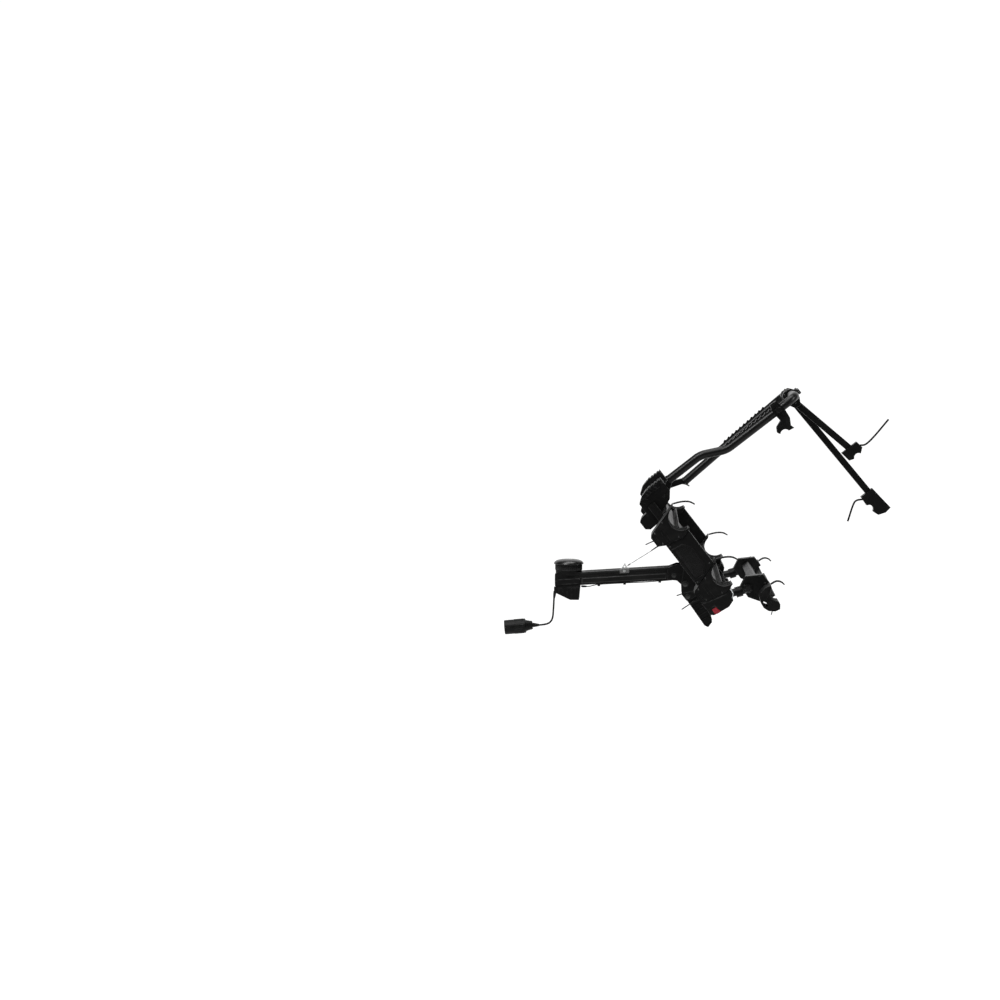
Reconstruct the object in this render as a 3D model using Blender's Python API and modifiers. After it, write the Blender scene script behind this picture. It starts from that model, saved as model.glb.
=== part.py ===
"""Tow-ball bike rack for three bikes, standing tilted rearwards on its loading pivot.

The frame's origin is the centre of the tow ball's seat. +X runs rearwards from the car,
+Y to the car's right and +Z up. Everything on the tilting platform is placed in the
platform's own upright axes (rearwards, right, up), measured from the tilt pivot, and
hangs on one empty that holds the tilt angle.
"""
import math

import bmesh
import bpy
from mathutils import Vector

# Gaps between pieces
SEAT_GAP = 0.0003
RUNNING_GAP = 0.0004

# Coupling arm, a hollow extrusion that rises gently towards the pivot
ARM_FRONT_X = -0.033
ARM_REAR_X = 0.427
ARM_BOTTOM_Z = 0.003
ARM_SLOPE = 0.065
ARM_HEIGHT = 0.049
ARM_HALF_WIDTH = 0.038
ARM_WALL = 0.0035
END_CAP_THICKNESS = 0.006

# Coupling on the tow ball, with its knob standing on the arm
BALL_RADIUS = 0.025
HEAD_FRONT_X = -0.036
HEAD_REAR_X = 0.057
HEAD_BOTTOM_Z = -0.050
HEAD_HALF_WIDTH = 0.040
KNOB_X = 0.012
KNOB_RADIUS = 0.057
KNOB_SKIRT_RADIUS = 0.052
KNOB_BOTTOM_Z = ARM_BOTTOM_Z + ARM_SLOPE * KNOB_X + ARM_HEIGHT + 0.0085
KNOB_RIM_Z = KNOB_BOTTOM_Z + 0.0247
KNOB_TOP_Z = KNOB_RIM_Z + 0.017
KNOB_TEETH = 20
COLLAR_RADIUS = 0.049
COLLAR_DEPTH = 0.015
SPINDLE_RADIUS = 0.008
SPINDLE_BOTTOM_Z = 0.033
SPINDLE_TOP_Z = KNOB_RIM_Z - 0.006
PAD_RADIUS = 0.021
PAD_TOP_Z = 0.038
PAD_BOTTOM_Z = 0.017

# Tilt pivot
TILT_ANGLE = math.radians(52.0)
PIVOT_X = 0.455
PIVOT_Z = 0.016
PIVOT_SHAFT_RADIUS = 0.008
PIVOT_LUG_RADIUS = 0.014
BRACKET_THICKNESS = 0.005
BRACKET_BOLT_X = 0.412
BRACKET_BOLT_Z = 0.047
BOLT_RADIUS = 0.005
BOLT_HEAD_RADIUS = 0.0080
BOLT_HEAD_HEIGHT = 0.0025

# Welded platform frame, upright platform axes
FRAME_TOP = 0.1085
FRAME_TUBE = 0.0295
SPINE_FRONT = -0.300
SPINE_REAR = 0.0855
SPINE_PLATE = 0.005
SPINE_INNER_HALF_WIDTH = 0.0475
RAIL_Y = 0.340
RAIL_FRONT = -0.330
RAIL_REAR = 0.120

# Stud on the frame's near flange that takes the stop cable
CABLE_STUD_U = -0.170
CABLE_STUD_V = 0.052
CABLE_STUD_RADIUS = 0.004
CABLE_Y = -SPINE_INNER_HALF_WIDTH - SPINE_PLATE - 0.0035

# Wheel trays and their end holders
TRAY_1_U = -0.250
WHEEL_SPACING = 0.250
TRAY_HALF_WIDTH = 0.038
TRAY_WALL = 0.0035
TRAY_DEPTH = 0.0215
TRAY_END_Y = 0.470
HOLDER_LENGTH = 0.130
CUP_RADIUS = 0.046
CUP_CENTRE_V = 0.160
STRAP_WIDTH = 0.025
STRAP_THICKNESS = 0.0045
TAIL_RADIUS = 0.0020
PANEL_THICKNESS = 0.034
PANEL_RECESS = 0.008

# Lamps and number-plate carrier
LAMP_INNER_Y = RAIL_Y + FRAME_TUBE / 2 + SEAT_GAP
PLATE_FACE_U = 0.100
PLATE_BOARD = 0.014
PLATE_BOTTOM = 0.020
PLATE_TOP = 0.124

# Foot pedal
PEDAL_PIN_U = 0.044
PEDAL_PIN_V = -0.022
PEDAL_LENGTH = 0.140
PEDAL_THICKNESS = 0.020
PIN_RADIUS = 0.006

# Mast
MAST_HALF_WIDTH = 0.280
MAST_TUBE_RADIUS = 0.016
MAST_TOP_U = -0.320
MAST_TOP_V = 0.750
MAST_CORNER_RADIUS = 0.055
MAST_BEND_RADIUS = 0.090
NEAR_LEG_U = -0.362
NEAR_LEG_BEND_V = 0.345
FAR_LEG_U = -0.290
FAR_LEG_V = 0.225
NEAR_LEG_V = 0.194
MAST_PIN_U = -0.325
MAST_PIN_V = 0.150
KNUCKLE_THICKNESS = 0.020
FOOT_INNER_Y = MAST_HALF_WIDTH - 0.044
FOOT_OUTER_Y = RAIL_Y - FRAME_TUBE / 2 - SEAT_GAP
RIB_COUNT = 11
RIB_FIRST_V = 0.448
RIB_PITCH = 0.0195
RIB_HEIGHT = 0.006

# Bike-holding arms on the mast
ARM_TUBE = 0.025
CLAW_TAIL_RADIUS = 0.0036
ARM_3_Y = 0.110
SHORT_ARM_V = 0.666
GRIP_RADIUS = 0.018

# Third-bike adapter
ADAPTER_POST_RADIUS = FRAME_TUBE / 2 - 0.00025
ADAPTER_COLLAR_RADIUS = 0.020
ADAPTER_END_Y = 0.400
ADAPTER_HOLDER_LENGTH = 0.100

ROUND_STEPS = 24


# ---------------------------------------------------------------- scene and helpers
for stale in list(bpy.data.objects):
    bpy.data.objects.remove(stale, do_unlink=True)

parts = bpy.data.collections.new("bike_rack")
bpy.context.scene.collection.children.link(parts)


def make_material(name, colour, roughness, metallic=0.0):
    """Principled material with one colour, roughness and metallic value."""
    material = bpy.data.materials.new(name)
    material.use_nodes = True
    shader = material.node_tree.nodes["Principled BSDF"]
    shader.inputs["Base Color"].default_value = (*colour, 1.0)
    shader.inputs["Roughness"].default_value = roughness
    shader.inputs["Metallic"].default_value = metallic
    return material


def black_paint(name):
    return make_material(name, (0.020, 0.021, 0.021), 0.42, 0.0)


def black_plastic(name):
    return make_material(name, (0.014, 0.015, 0.015), 0.55, 0.0)


def bright_steel(name):
    return make_material(name, (0.62, 0.62, 0.60), 0.30, 1.0)


def link_mesh(name, mesh, parent=None):
    """New object in the parts collection, hung on the given empty."""
    shape = bpy.data.objects.new(name, mesh)
    parts.objects.link(shape)
    shape.parent = parent
    return shape


def bake(shape):
    """Replace an object's data by the mesh that its modifiers or curve give."""
    bpy.context.view_layer.update()
    graph = bpy.context.evaluated_depsgraph_get()
    mesh = bpy.data.meshes.new_from_object(shape.evaluated_get(graph))
    grid = bmesh.new()
    grid.from_mesh(mesh)
    bmesh.ops.remove_doubles(grid, verts=grid.verts, dist=0.00001)
    bmesh.ops.recalc_face_normals(grid, faces=grid.faces)
    grid.to_mesh(mesh)
    grid.free()
    baked = link_mesh(shape.name + "_baked", mesh, shape.parent)
    baked.matrix_basis = shape.matrix_basis.copy()
    name = shape.name
    bpy.data.objects.remove(shape, do_unlink=True)
    baked.name = name
    return baked


def combine(target, others, operation):
    """Boolean the other shapes into the target and drop them."""
    for other in others:
        modifier = target.modifiers.new("boolean", "BOOLEAN")
        modifier.operation = operation
        modifier.solver = "EXACT"
        modifier.object = other
    result = bake(target)
    for other in others:
        bpy.data.objects.remove(other, do_unlink=True)
    return result


def unite(target, others):
    return combine(target, others, "UNION")


def cut(target, cutters):
    return combine(target, cutters, "DIFFERENCE")


def box(name, low, high, parent=None):
    """Box between two corners."""
    low = Vector(low)
    high = Vector(high)
    grid = bmesh.new()
    bmesh.ops.create_cube(grid, size=1.0)
    bmesh.ops.scale(grid, vec=high - low, verts=grid.verts)
    mesh = bpy.data.meshes.new(name)
    grid.to_mesh(mesh)
    grid.free()
    shape = link_mesh(name, mesh, parent)
    shape.location = (low + high) / 2
    return shape


def rod(name, start, end, radius, parent=None, steps=ROUND_STEPS, end_radius=None):
    """Cylinder, or cone frustum, between two points."""
    start = Vector(start)
    end = Vector(end)
    along = end - start
    grid = bmesh.new()
    bmesh.ops.create_cone(
        grid, cap_ends=True, segments=steps, radius1=radius,
        radius2=radius if end_radius is None else end_radius, depth=along.length)
    mesh = bpy.data.meshes.new(name)
    grid.to_mesh(mesh)
    grid.free()
    mesh.shade_smooth()
    mesh.set_sharp_from_angle(angle=math.radians(35))
    shape = link_mesh(name, mesh, parent)
    shape.location = (start + end) / 2
    shape.rotation_euler = along.to_track_quat("Z", "Y").to_euler()
    return shape


def prism(name, outline, y_low, y_high, parent=None):
    """Flat outline in the side view (x, z), given thickness across y."""
    curve = bpy.data.curves.new(name, "CURVE")
    curve.dimensions = "2D"
    curve.fill_mode = "BOTH"
    curve.extrude = (y_high - y_low) / 2
    spline = curve.splines.new("POLY")
    spline.points.add(len(outline) - 1)
    for point, (x, z) in zip(spline.points, outline):
        point.co = (x, z, 0.0, 1.0)
    spline.use_cyclic_u = True
    shape = bpy.data.objects.new(name, curve)
    parts.objects.link(shape)
    shape.parent = parent
    shape.rotation_euler = (math.pi / 2, 0.0, 0.0)
    shape.location = (0.0, (y_low + y_high) / 2, 0.0)
    return bake(shape)


def tube(name, points, radius, parent=None, resolution=3):
    """Round bar along a line of points, with closed ends."""
    curve = bpy.data.curves.new(name, "CURVE")
    curve.dimensions = "3D"
    curve.bevel_depth = radius
    curve.bevel_resolution = resolution
    curve.use_fill_caps = True
    spline = curve.splines.new("POLY")
    spline.points.add(len(points) - 1)
    for point, place in zip(spline.points, points):
        point.co = (*place, 1.0)
    shape = bpy.data.objects.new(name, curve)
    parts.objects.link(shape)
    shape.parent = parent
    return bake(shape)


def turned(name, profile, centre, parent=None, steps=32):
    """Profile of (radius, height) pairs, top to bottom, turned about a vertical axis."""
    mesh = bpy.data.meshes.new(name)
    points = [(radius, 0.0, height) for radius, height in profile]
    edges = [(i, i + 1) for i in range(len(points) - 1)]
    mesh.from_pydata(points, edges, [])
    shape = link_mesh(name, mesh, parent)
    shape.location = centre
    screw = shape.modifiers.new("turn", "SCREW")
    screw.steps = steps
    screw.render_steps = steps
    screw.use_merge_vertices = True
    screw.merge_threshold = 0.00001
    return bake(shape)


def arc(centre, radius, start, end, steps):
    """Points on a circle in the side view, angles in degrees."""
    points = []
    for i in range(steps + 1):
        angle = math.radians(start + (end - start) * i / steps)
        points.append((centre[0] + radius * math.cos(angle), centre[1] + radius * math.sin(angle)))
    return points


def bent(points, radii, steps=7):
    """Line of points with each inner corner turned into an arc of the given radius."""
    corners = [Vector(point) for point in points]
    path = [corners[0]]
    for before, corner, after, radius in zip(corners, corners[1:], corners[2:], radii):
        inward = (before - corner).normalized()
        outward = (after - corner).normalized()
        half = inward.angle(outward) / 2
        back = radius / math.tan(half)
        centre = corner + (inward + outward).normalized() * radius / math.sin(half)
        first = corner + inward * back - centre
        last = corner + outward * back - centre
        for i in range(steps + 1):
            path.append(centre + radius * first.slerp(last, i / steps))
    path.append(corners[-1])
    return path


def smooth_route(points, spacing):
    """Evenly spaced points on a smooth curve through the route's own points."""
    route = [Vector(point) for point in points]
    ends = [2 * route[0] - route[1]] + route + [2 * route[-1] - route[-2]]
    fine = []
    for i in range(len(route) - 1):
        p0, p1, p2, p3 = ends[i:i + 4]
        for step in range(40):
            t = step / 40
            fine.append(0.5 * (2 * p1 + (p2 - p0) * t + (2 * p0 - 5 * p1 + 4 * p2 - p3) * t ** 2
                               + (3 * p1 - p0 - 3 * p2 + p3) * t ** 3))
    fine.append(route[-1])
    total = sum((b - a).length for a, b in zip(fine, fine[1:]))
    count = max(2, round(total / spacing))
    picked = [fine[0]]
    walked = 0.0
    for a, b in zip(fine, fine[1:]):
        walked += (b - a).length
        if walked >= len(picked) * total / count and len(picked) < count:
            picked.append(b)
    picked.append(fine[-1])
    return picked


def finish(shape, material):
    """Give a finished sub-part its material."""
    shape.data.materials.clear()
    shape.data.materials.append(material)
    return shape


def sides():
    """The near and far copy of each paired piece, and the side of y that each lies on."""
    return (("near", -1), ("far", 1))


def across(side, inner, outer):
    """The y range, low to high, of a piece between two distances from the middle."""
    return (inner, outer) if side > 0 else (-outer, -inner)


# ---------------------------------------------------------------- coupling and arm
def arm_bottom(x):
    return ARM_BOTTOM_Z + ARM_SLOPE * x


def arm_top(x):
    return arm_bottom(x) + ARM_HEIGHT


def arm_band(x_low, x_high, low, high):
    """Outline that follows the arm's slope, between two heights above its underside."""
    return [(x_low, arm_bottom(x_low) + low), (x_high, arm_bottom(x_high) + low),
            (x_high, arm_bottom(x_high) + high), (x_low, arm_bottom(x_low) + high)]


def make_coupling_arm():
    ridge_depth = 0.0025
    arm = prism("coupling_arm", arm_band(ARM_FRONT_X, ARM_REAR_X, 0.0, ARM_HEIGHT),
                -ARM_HALF_WIDTH, ARM_HALF_WIDTH)
    ridges = []
    for _, side in sides():
        low, high = across(side, ARM_HALF_WIDTH - ridge_depth, ARM_HALF_WIDTH + ridge_depth)
        ridges.append(prism("ridge", arm_band(ARM_FRONT_X, BRACKET_BOLT_X - 0.030, 0.021, 0.029),
                            low, high))
    arm = unite(arm, ridges)
    inside = prism("inside", arm_band(ARM_FRONT_X - 0.01, ARM_REAR_X + 0.01,
                                      ARM_WALL, ARM_HEIGHT - ARM_WALL),
                   ARM_WALL - ARM_HALF_WIDTH, ARM_HALF_WIDTH - ARM_WALL)
    grooves = []
    for _, side in sides():
        low, high = across(side, ARM_HALF_WIDTH - 0.0015, ARM_HALF_WIDTH + 0.01)
        grooves.append(prism("groove", arm_band(ARM_FRONT_X - 0.01, ARM_REAR_X + 0.01, 0.035, 0.039),
                             low, high))
    ball_hole = rod("hole", (0, 0, -0.02), (0, 0, 0.02), BALL_RADIUS + 2 * SEAT_GAP)
    spindle_hole = rod("hole", (KNOB_X, 0, 0.030), (KNOB_X, 0, SPINDLE_TOP_Z), SPINDLE_RADIUS + RUNNING_GAP)
    bolt_hole = rod("hole", (BRACKET_BOLT_X, -0.05, BRACKET_BOLT_Z),
                    (BRACKET_BOLT_X, 0.05, BRACKET_BOLT_Z), BOLT_RADIUS + SEAT_GAP)
    arm = cut(arm, [inside] + grooves + [ball_hole, spindle_hole, bolt_hole])
    return finish(arm, black_paint("arm_paint"))


def make_coupling_head():
    top_front = arm_bottom(HEAD_FRONT_X) - SEAT_GAP
    top_rear = arm_bottom(HEAD_REAR_X) - SEAT_GAP
    outline = [(HEAD_FRONT_X, top_front), (HEAD_FRONT_X, -0.024), (0.019, HEAD_BOTTOM_Z),
               (0.052, HEAD_BOTTOM_Z), (HEAD_REAR_X, top_rear)]
    head = prism("coupling_head", outline, -HEAD_HALF_WIDTH, HEAD_HALF_WIDTH)
    mouth = rod("mouth", (0, 0, -0.08), (0, 0, 0.02), BALL_RADIUS + SEAT_GAP, steps=32)
    neck_way = prism("neck_way", [(-0.06, -0.07), (0.0, -0.07), (0.0, -0.020), (-0.06, -0.012)],
                     -0.018, 0.018)
    head = cut(head, [mouth, neck_way])
    gland = box("gland", (HEAD_FRONT_X - 0.008, -0.007, -0.0205), (HEAD_FRONT_X + 0.004, 0.007, -0.004))
    head = unite(head, [gland])
    return finish(head, black_plastic("head_plastic"))


def make_arm_end_cap():
    rear = ARM_FRONT_X - SEAT_GAP
    outline = arm_band(rear - END_CAP_THICKNESS, rear, 0.0005, ARM_HEIGHT - 0.0005)
    cap = prism("arm_end_cap", outline, -ARM_HALF_WIDTH, ARM_HALF_WIDTH)
    return finish(cap, black_plastic("end_cap_plastic"))


def make_knob_collar():
    top = KNOB_BOTTOM_Z - SEAT_GAP
    collar = rod("knob_collar", (KNOB_X, 0, top - COLLAR_DEPTH), (KNOB_X, 0, top), COLLAR_RADIUS, steps=32)
    arm_space = prism("arm_space", arm_band(-0.08, 0.10, -0.02, ARM_HEIGHT + SEAT_GAP),
                      -ARM_HALF_WIDTH - 0.003, ARM_HALF_WIDTH + 0.003)
    hole = rod("hole", (KNOB_X, 0, SPINDLE_BOTTOM_Z), (KNOB_X, 0, SPINDLE_TOP_Z),
               SPINDLE_RADIUS + RUNNING_GAP)
    collar = cut(collar, [arm_space, hole])
    return finish(collar, black_plastic("collar_plastic"))


def make_clamp_knob():
    rim = KNOB_RIM_Z
    profile = [(0.0, KNOB_TOP_Z), (0.030, KNOB_TOP_Z - 0.001), (0.045, KNOB_TOP_Z - 0.004),
               (KNOB_RADIUS - 0.002, rim + 0.005), (KNOB_RADIUS, rim), (KNOB_RADIUS - 0.004, rim - 0.003),
               (0.0, rim - 0.003)]
    knob = turned("clamp_knob", profile, (KNOB_X, 0, 0))
    skirt_points = []
    for i in range(2 * KNOB_TEETH):
        radius = KNOB_SKIRT_RADIUS - (0.002 if i % 2 else 0.0)
        angle = math.pi * i / KNOB_TEETH
        skirt_points.append((radius * math.cos(angle), radius * math.sin(angle)))
    depth = rim - KNOB_BOTTOM_Z
    skirt = prism("skirt", skirt_points, -depth / 2, depth / 2)
    skirt.rotation_euler = (0.0, 0.0, 0.0)
    skirt.location = (KNOB_X, 0.0, KNOB_BOTTOM_Z + depth / 2)
    knob = unite(knob, [skirt])
    socket = rod("socket", (KNOB_X, 0, SPINDLE_BOTTOM_Z), (KNOB_X, 0, SPINDLE_TOP_Z),
                 SPINDLE_RADIUS + SEAT_GAP)
    knob = cut(knob, [socket])
    return finish(knob, black_plastic("knob_plastic"))


def make_clamp_spindle():
    spindle = rod("clamp_spindle", (KNOB_X, 0, SPINDLE_BOTTOM_Z), (KNOB_X, 0, SPINDLE_TOP_Z - SEAT_GAP),
                  SPINDLE_RADIUS)
    return finish(spindle, bright_steel("spindle_steel"))


def make_ball_pad():
    pad = rod("ball_pad", (KNOB_X / 2, 0, PAD_BOTTOM_Z), (KNOB_X / 2, 0, PAD_TOP_Z), PAD_RADIUS)
    grid = bmesh.new()
    bmesh.ops.create_uvsphere(grid, u_segments=24, v_segments=12, radius=BALL_RADIUS + SEAT_GAP)
    mesh = bpy.data.meshes.new("ball")
    grid.to_mesh(mesh)
    grid.free()
    ball = link_mesh("ball", mesh)
    thread = rod("thread", (KNOB_X, 0, 0.0247), (KNOB_X, 0, 0.06), SPINDLE_RADIUS + RUNNING_GAP)
    pad = cut(pad, [ball, thread])
    return finish(pad, bright_steel("pad_steel"))


def bracket_outline():
    lug = arc((PIVOT_X, PIVOT_Z), PIVOT_LUG_RADIUS, -110, 10, 6)
    front = BRACKET_BOLT_X - 0.024
    return ([(front, arm_bottom(front) + 0.002), (ARM_REAR_X - 0.004, arm_bottom(ARM_REAR_X) - 0.004)]
            + lug + [(PIVOT_X + 0.012, 0.050), (0.441, 0.088), (0.421, 0.088),
                     (front, arm_top(front) - 0.002)])


def make_pivot_brackets():
    for name, side in sides():
        low, high = across(side, ARM_HALF_WIDTH + SEAT_GAP,
                           ARM_HALF_WIDTH + SEAT_GAP + BRACKET_THICKNESS)
        plate = prism("pivot_bracket_" + name, bracket_outline(), low, high)
        shaft_hole = rod("hole", (PIVOT_X, low - 0.01, PIVOT_Z), (PIVOT_X, high + 0.01, PIVOT_Z),
                         PIVOT_SHAFT_RADIUS + SEAT_GAP)
        bolt_hole = rod("hole", (BRACKET_BOLT_X, low - 0.01, BRACKET_BOLT_Z),
                        (BRACKET_BOLT_X, high + 0.01, BRACKET_BOLT_Z), BOLT_RADIUS + SEAT_GAP)
        plate = cut(plate, [shaft_hole, bolt_hole])
        finish(plate, black_paint("bracket_paint_" + name))


def headed_pin(name, x, z, half_length, radius, head_radius, head_height, parent=None):
    """Pin across y with a head outside each end."""
    pin = rod(name, (x, -half_length - 0.001, z), (x, half_length + 0.001, z), radius, parent)
    heads = []
    for _, side in sides():
        heads.append(rod("head", (x, side * half_length, z), (x, side * (half_length + head_height), z),
                         head_radius, parent, steps=16))
    return unite(pin, heads)


def make_pivot_fasteners():
    bolt_half = ARM_HALF_WIDTH + BRACKET_THICKNESS + 2 * SEAT_GAP
    bolt = headed_pin("bracket_bolt", BRACKET_BOLT_X, BRACKET_BOLT_Z, bolt_half, BOLT_RADIUS,
                      BOLT_HEAD_RADIUS, BOLT_HEAD_HEIGHT)
    finish(bolt, bright_steel("bolt_steel"))
    shaft_half = SPINE_INNER_HALF_WIDTH + SPINE_PLATE + SEAT_GAP
    shaft = headed_pin("pivot_shaft", PIVOT_X, PIVOT_Z, shaft_half, PIVOT_SHAFT_RADIUS,
                       PIVOT_SHAFT_RADIUS + 0.003, 0.005)
    finish(shaft, bright_steel("shaft_steel"))


def make_cable_hook():
    clamp_x = 0.225
    outer = ARM_HALF_WIDTH + SEAT_GAP
    clamp = prism("hook_clamp", arm_band(clamp_x - 0.018, clamp_x + 0.018, 0.036, ARM_HEIGHT + 0.003),
                  -outer - 0.004, -outer)
    top = prism("top", arm_band(clamp_x - 0.018, clamp_x + 0.018, ARM_HEIGHT + SEAT_GAP,
                                ARM_HEIGHT + 0.003), -outer - 0.002, -0.012)
    clamp = unite(clamp, [top])
    finish(clamp, make_material("clamp_grey", (0.55, 0.56, 0.56), 0.45))
    half = 0.013
    lift = 0.003 + SEAT_GAP
    outline = [(clamp_x - half, arm_top(clamp_x - half) + lift),
               (clamp_x + half, arm_top(clamp_x + half) + lift),
               (clamp_x + 0.001, arm_top(clamp_x) + 0.025)]
    hook = prism("cable_hook", outline, -0.036, -0.028)
    eye_z = arm_top(clamp_x) + 0.011
    eye = rod("eye", (clamp_x, -0.05, eye_z), (clamp_x, -0.01, eye_z), 0.0035)
    hook = cut(hook, [eye])
    finish(hook, make_material("hook_white", (0.85, 0.85, 0.84), 0.4))


def make_lamp_loom():
    """Two-core cable for the lamps, clipped along the arm's underside."""
    drop = 0.0065
    route = [(HEAD_REAR_X + 0.003, 0.020, -0.004), (0.090, 0.014, arm_bottom(0.090) - 0.012),
             (0.127, 0.010, arm_bottom(0.127) - drop), (0.225, 0.010, arm_bottom(0.225) - drop),
             (0.300, 0.010, arm_bottom(0.300) - drop - 0.001), (0.359, 0.010, arm_bottom(0.359) - drop),
             (0.395, 0.010, arm_bottom(0.395) - drop + 0.001),
             (ARM_REAR_X - 0.003, 0.010, arm_bottom(ARM_REAR_X) - drop + 0.002)]
    loom = tube("lamp_loom", smooth_route(route, 0.010), 0.003, resolution=2)
    finish(loom, black_plastic("loom_plastic"))
    for number, x in enumerate((0.127, 0.225, 0.359), start=1):
        high = arm_bottom(x) - SEAT_GAP - 0.0003
        clip = box(f"loom_clip_{number}", (x - 0.005, 0.003, high - 0.012), (x + 0.005, 0.017, high))
        way = rod("way", (x - 0.02, 0.010, arm_bottom(x - 0.02) - drop),
                  (x + 0.02, 0.010, arm_bottom(x + 0.02) - drop), 0.0036, steps=16)
        clip = cut(clip, [way])
        finish(clip, black_plastic(f"clip_plastic_{number}"))


def make_plug_and_cord():
    """Lead from the coupling down to the car's socket plug."""
    route = [(-0.0402, 0.0, -0.0213), (-0.044, 0.0, -0.050), (-0.046, 0.0, -0.087),
             (-0.050, 0.0, -0.125), (-0.064, 0.0, -0.144), (-0.092, 0.0, -0.151), (-0.1255, 0.0, -0.152)]
    cord = tube("plug_cord", smooth_route(route, 0.009), 0.0035, resolution=3)
    finish(cord, black_plastic("cord_plastic"))
    rear = -0.1258
    axis_z = -0.152
    collar = rod("plug", (rear, 0, axis_z), (rear - 0.026, 0, axis_z), 0.016, end_radius=0.022)
    shell = rod("shell", (rear - 0.024, 0, axis_z - 0.004), (rear - 0.108, 0, axis_z - 0.010), 0.0275)
    plug = unite(collar, [shell])
    mouth = rod("mouth", (rear - 0.060, 0, axis_z - 0.0066), (rear - 0.12, 0, axis_z - 0.0108), 0.0235)
    plug = cut(plug, [mouth])
    finish(plug, black_plastic("plug_plastic"))


# ---------------------------------------------------------------- platform frame
def make_frame(tilt):
    beam_low = FRAME_TOP - FRAME_TUBE
    top = prism("frame", [(SPINE_FRONT, FRAME_TOP - 0.006), (SPINE_REAR, FRAME_TOP - 0.006),
                          (SPINE_REAR, FRAME_TOP), (SPINE_FRONT, FRAME_TOP)],
                -SPINE_INNER_HALF_WIDTH - SPINE_PLATE, SPINE_INNER_HALF_WIDTH + SPINE_PLATE, tilt)
    lug = arc((0, 0), PIVOT_LUG_RADIUS + 0.002, 200, 250, 3)
    flange_outline = ([(SPINE_FRONT, FRAME_TOP - 0.001), (SPINE_FRONT, 0.064), (-0.200, 0.044),
                       (-0.150, 0.040), (-0.050, 0.030)] + lug
                      + [(0.024, -0.036), (0.054, -0.036), (0.060, -0.012), (0.064, 0.040),
                         (SPINE_REAR, 0.060), (SPINE_REAR, FRAME_TOP - 0.001)])
    pieces = []
    for _, side in sides():
        low, high = across(side, SPINE_INNER_HALF_WIDTH, SPINE_INNER_HALF_WIDTH + SPINE_PLATE)
        pieces.append(prism("flange", flange_outline, low, high, tilt))
        low, high = across(side, RAIL_Y - FRAME_TUBE / 2, RAIL_Y + FRAME_TUBE / 2)
        pieces.append(box("rail", (RAIL_FRONT, low, beam_low), (RAIL_REAR, high, FRAME_TOP), tilt))
    for u in (-0.175, 0.030):
        pieces.append(box("beam", (u, -RAIL_Y, beam_low + 0.001),
                          (u + FRAME_TUBE, RAIL_Y, FRAME_TOP - 0.001), tilt))
    reach_u = CABLE_STUD_U - CABLE_STUD_RADIUS - 0.002
    pieces.append(rod("stud", (reach_u, CABLE_Y + 0.005, CABLE_STUD_V),
                      (reach_u, CABLE_Y - 0.004, CABLE_STUD_V), CABLE_STUD_RADIUS, tilt, steps=16))
    frame = unite(top, pieces)
    reach = SPINE_INNER_HALF_WIDTH + 0.02
    shaft_hole = rod("hole", (0, -reach, 0), (0, reach, 0), PIVOT_SHAFT_RADIUS + RUNNING_GAP, tilt)
    pedal_hole = rod("hole", (PEDAL_PIN_U, -reach, PEDAL_PIN_V), (PEDAL_PIN_U, reach, PEDAL_PIN_V),
                     PIN_RADIUS + SEAT_GAP, tilt)
    frame = cut(frame, [shaft_hole, pedal_hole])
    finish(frame, black_paint("frame_paint"))


def make_stop_cable(tilt):
    """Thin steel rope that stops the platform at its loading angle."""
    hook = Vector((0.2347, -0.032, arm_top(0.229) + 0.0135))
    anchor = tilt.matrix_world @ Vector((CABLE_STUD_U, CABLE_Y, CABLE_STUD_V))
    cable = tube("stop_cable", [hook, hook.lerp(anchor, 0.5), anchor], 0.0013, resolution=2)
    finish(cable, bright_steel("cable_steel"))


# ---------------------------------------------------------------- trays, holders, straps
def holder_outline(u):
    cup = arc((u + 0.0045, CUP_CENTRE_V), CUP_RADIUS, -3, -176, 14)
    return ([(u - 0.0485, 0.165), (u - 0.017, 0.062), (u - 0.010, 0.040), (u - 0.002, 0.031),
             (u + 0.036, 0.031), (u + 0.050, 0.056), (u + 0.066, 0.124), (u + 0.053, 0.158)] + cup)


def tray_outline(u, v, half_width):
    wall = TRAY_WALL
    top = v + TRAY_DEPTH
    return [(u - half_width, top), (u - half_width, v), (u + half_width, v), (u + half_width, top),
            (u + half_width - wall, top), (u + half_width - wall, v + wall),
            (u - half_width + wall, v + wall), (u - half_width + wall, top)]


def strap_tails(u, tilt, side, tails):
    """Loose ends of the tyre strap below the holder."""
    pieces = []
    for number, route in enumerate(tails):
        y = side * (TRAY_END_Y + HOLDER_LENGTH * (0.45 + 0.25 * number))
        points = smooth_route([(u + a, y, v) for a, v in route], 0.006)
        pieces.append(tube("tail", points, TAIL_RADIUS, tilt, resolution=1))
    return pieces


def make_strap(name, tilt, side, base, route, end_y):
    low, high = across(side, end_y - STRAP_WIDTH / 2, end_y + STRAP_WIDTH / 2)
    along = smooth_route([(a, 0.0, b) for a, b in route], 0.008)
    outer = []
    inner = []
    for i, point in enumerate(along):
        ahead = along[min(i + 1, len(along) - 1)] - along[max(i - 1, 0)]
        normal = Vector((-ahead.z, 0.0, ahead.x)).normalized() * STRAP_THICKNESS / 2
        outer.append(((point + normal).x + base[0], (point + normal).z + base[1]))
        inner.append(((point - normal).x + base[0], (point - normal).z + base[1]))
    strap = prism(name, outer + inner[::-1], low, high, tilt)
    finish(strap, black_plastic(name + "_plastic"))


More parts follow.
